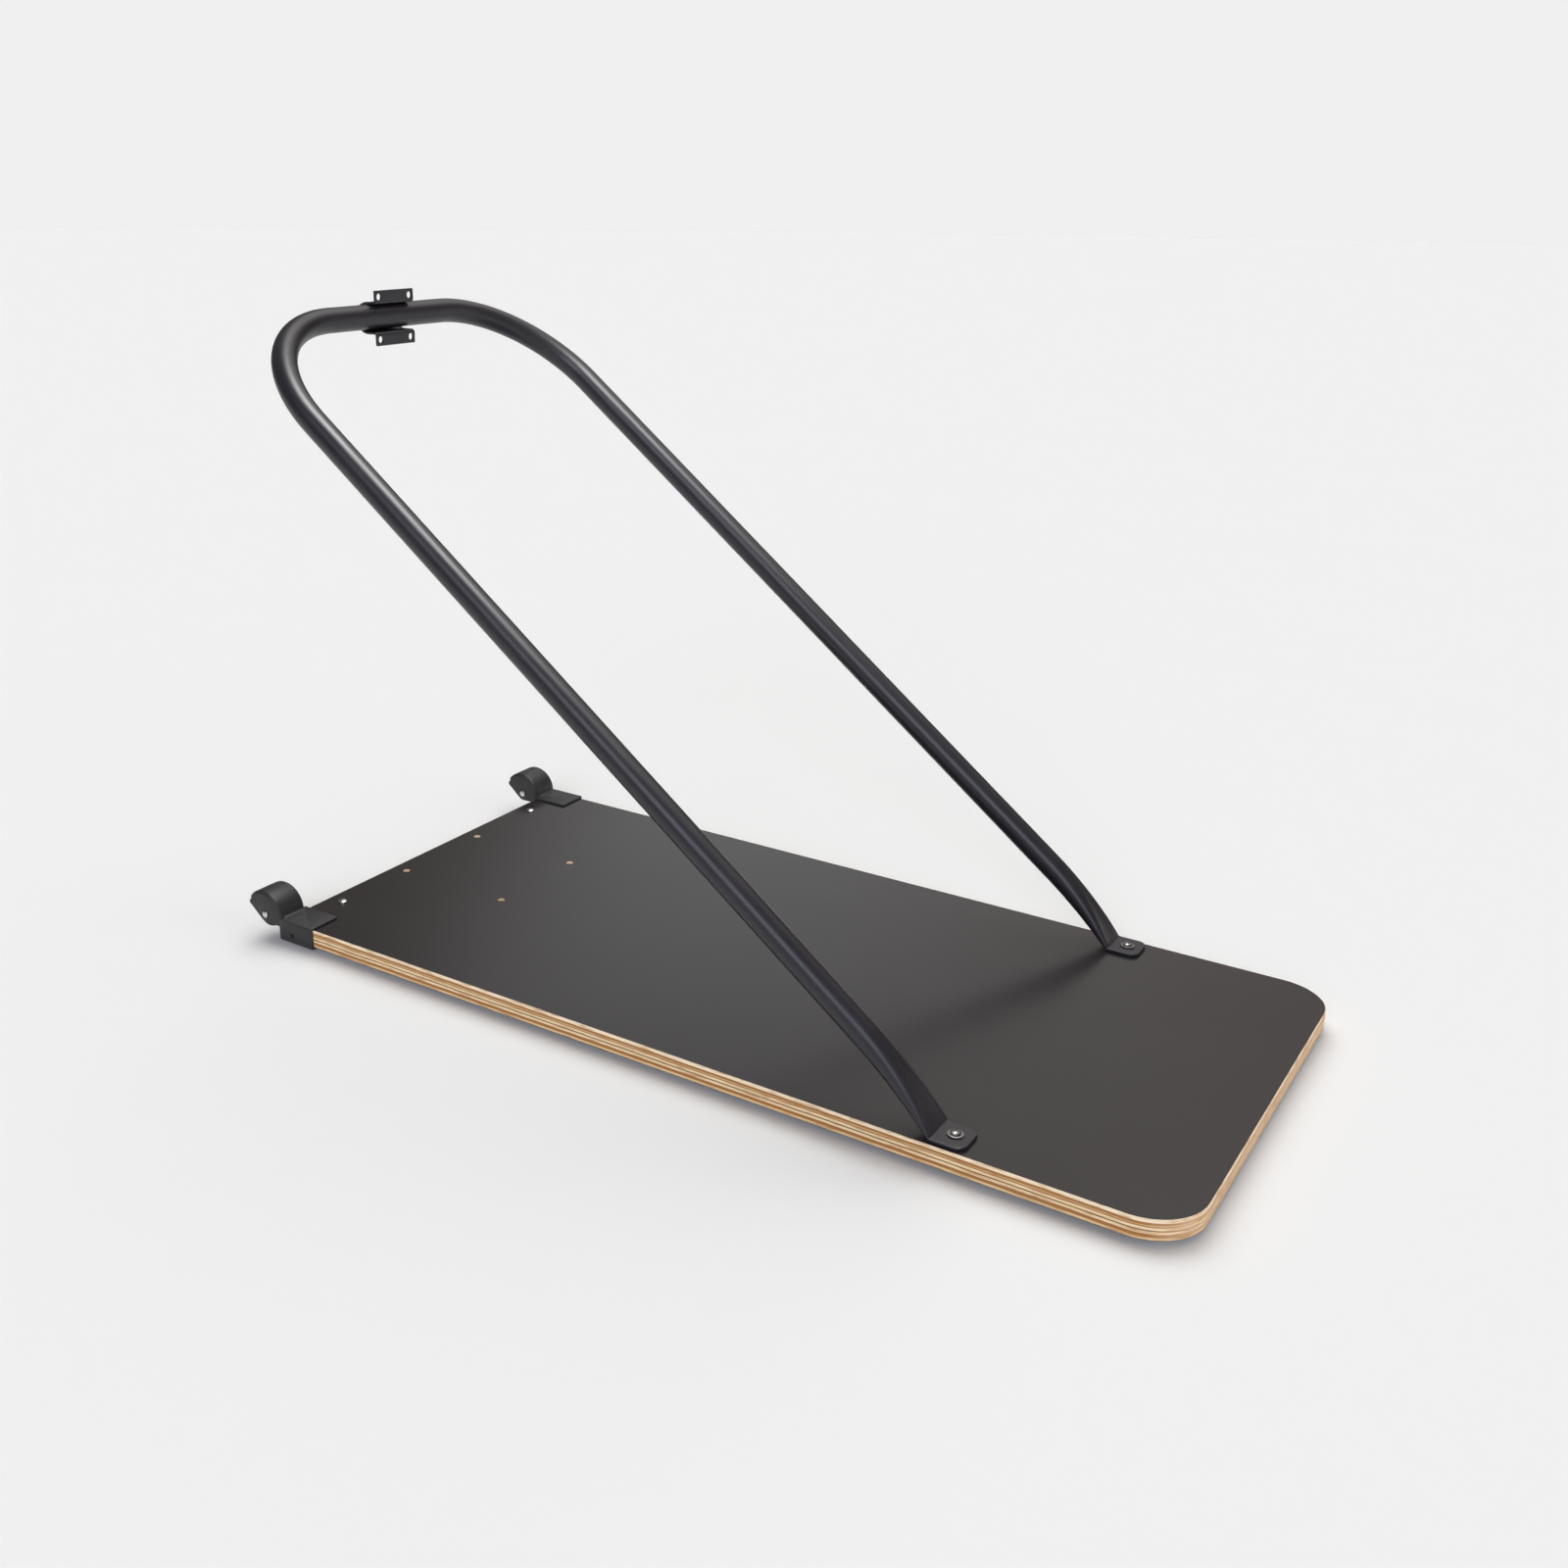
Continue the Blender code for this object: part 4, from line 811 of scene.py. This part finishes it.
for label, sign in SIDES:
    name = "tyre_" + label
    low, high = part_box(name)
    half = (high.x - low.x) / 2
    reach = (high.z - low.z) / 2
    bed = reach - TYRE_THICKNESS
    rim = bed - AXLE_CLEARANCE
    lip = rim - RIM_LIP
    hole = AXLE_RADIUS + AXLE_CLEARANCE
    wheel_x = (low.x + high.x) / 2
    hub_low, hub_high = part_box("wheel_" + label)
    boss = max(abs(hub_low.x - wheel_x), abs(hub_high.x - wheel_x))

    tread = [(bed, half), (reach, half)]
    for z in (half / 3, -half / 3):
        tread += [(reach, z + TYRE_GROOVE), (reach - TYRE_GROOVE, z), (reach, z - TYRE_GROOVE)]
    form = lathe(tread + [(reach, -half), (bed, -half), (bed, half)], steps=WHEEL_STEPS)
    shoulders = [edge for edge in form.edges if edge.calc_face_angle() > math.radians(80)
                 and all(abs(vert.co.xy.length - reach) < AXLE_CLEARANCE for vert in edge.verts)]
    bmesh.ops.bevel(form, geom=shoulders, offset=TYRE_SHOULDER, segments=6, profile=0.5, affect="EDGES",
                    material=-1)
    piece("rubber_" + name, on_axle(form, wheel_x, sign), (tyre_rubber,), "tyre_rubber", name)

    dish = half - HUB_DISH
    form = lathe([(hole, boss), (HUB_RADIUS, boss), (HUB_RADIUS, dish), (lip, dish), (lip, half),
                  (rim, half), (rim, -half), (lip, -half), (lip, -dish), (HUB_RADIUS, -dish),
                  (HUB_RADIUS, -half), (hole, -half), (hole, boss)], steps=WHEEL_STEPS)
    soften(form, HUB_EDGE, segments=3)
    piece("nylon_hub_" + label, on_axle(form, wheel_x, sign), (grey_nylon,), "grey_nylon", "wheel_" + label)

    name = "axle_spacer_" + label
    low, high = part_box(name)
    half = (high.x - low.x) / 2
    reach = (high.z - low.z) / 2
    form = lathe([(hole, half), (reach, half), (reach, -half), (hole, -half), (hole, half)])
    soften(form, SPACER_EDGE)
    on_axle(form, (low.x + high.x) / 2, sign)
    piece("nylon_spacer_" + label, form, (grey_nylon,), "grey_nylon", name)

    name = "axle_" + label
    low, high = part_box(name)
    head = (high.z - low.z) / 2
    length = high.x - low.x - AXLE_HEAD_HEIGHT
    form = lathe(dome(head, AXLE_HEAD_RIM, AXLE_HEAD_HEIGHT)
                 + [(head, 0), (AXLE_RADIUS, 0), (AXLE_RADIUS, -length), (0, -length)], steps=HEAD_STEPS)
    soften(form, AXLE_EDGE)
    seat = (high.x if sign > 0 else low.x) - sign * AXLE_HEAD_HEIGHT
    piece("headed_axle_" + label, on_axle(form, seat, sign), (bright_zinc,), "bright_zinc", name)

    name = "axle_cap_" + label
    low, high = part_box(name)
    depth = high.x - low.x
    form = lathe(dome(head, depth - CAP_CROWN, depth)
                 + [(head, 0), (hole, 0), (hole, depth - CAP_CROWN), (0, depth - CAP_CROWN)],
                 steps=HEAD_STEPS)
    soften(form, AXLE_EDGE)
    seat = high.x if sign > 0 else low.x
    piece("press_on_cap_" + label, on_axle(form, seat, -sign), (bright_zinc,), "bright_zinc", name)


# Wheel housings: moulded corner caps that wrap the deck's end, each with a hood over its wheel.  Two dark
# countersunk screws hold each one, through its side wall and from below.
HOUSING_EDGE = 0.0005
COUNTERSUNK_RINGS = (0.0, 0.25, 0.6, 1.0)
COUNTERSUNK_DEPTH = 0.0022
COUNTERSUNK_SHANK_RADIUS = 0.0018
COUNTERSUNK_RECESS_SHARE = 0.55
COUNTERSUNK_RECESS_DEPTH = 0.0012

# Moulded black plastic: a spark-eroded grain gives a dry, even sheen.  The grain is 0.4 mm and is drawn
# wider, so that it shows.
black_moulding, tree, place = new_finish("moulded_black_plastic")
erosion = noise(tree, place, 0.9, 3.0)
surface(tree, {"Base Color": blend(tree, noise(tree, place, 25, 3.0), "202021", "2b2b2c"),
               "Roughness": between(tree, erosion, 0.40, 0.56),
               "Normal": relief(tree, erosion, 0.22, 0.0002)})

# Black zinc: passivated steel, nearly black, with a thin metallic glint.
black_zinc, tree, place = new_finish("black_zinc_plate")
passivation = noise(tree, place, 1.5, 4.0)
surface(tree, {"Base Color": blend(tree, passivation, "2a2a2b", "454546"), "Metallic": 1.0,
               "Roughness": between(tree, passivation, 0.34, 0.48)})

for label, sign in SIDES:
    name = "wheel_housing_" + label
    form = bmesh.new()
    form.from_mesh(frame["nodes"][name].data)
    bmesh.ops.remove_doubles(form, verts=form.verts, dist=MERGE)
    bmesh.ops.dissolve_limit(form, angle_limit=math.radians(1), verts=form.verts[:], edges=form.edges[:])
    soften(form, HOUSING_EDGE, angle=40)
    for face in form.faces:
        face.material_index = 0
    piece("hooded_cap_" + label, form, (black_moulding,), "black_moulding", name)

    for spot, degrees, axis in (("side", sign * 90, "Y"), ("base", 180, "X")):
        name = "housing_%s_screw_%s" % (spot, label)
        low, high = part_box(name)
        head = (high.y - low.y) / 2
        length = high.x - low.x if spot == "side" else high.z - low.z
        form = lathe([(head * ring, 0) for ring in COUNTERSUNK_RINGS]
                     + [(COUNTERSUNK_SHANK_RADIUS, -COUNTERSUNK_DEPTH),
                        (COUNTERSUNK_SHANK_RADIUS, COUNTERSUNK_SHANK_RADIUS - length), (0, -length)],
                     steps=HEAD_STEPS)
        press_cross(form, head * COUNTERSUNK_RECESS_SHARE, COUNTERSUNK_RECESS_DEPTH)
        rotate(form, degrees, axis)
        centre = middle_of(name)
        if spot == "side":
            centre.x = high.x if sign > 0 else low.x
        else:
            centre.z = low.z
        bmesh.ops.translate(form, vec=centre, verts=form.verts)
        piece("countersunk_%s_screw_%s" % (spot, label), form, (black_zinc,), "black_zinc", name)
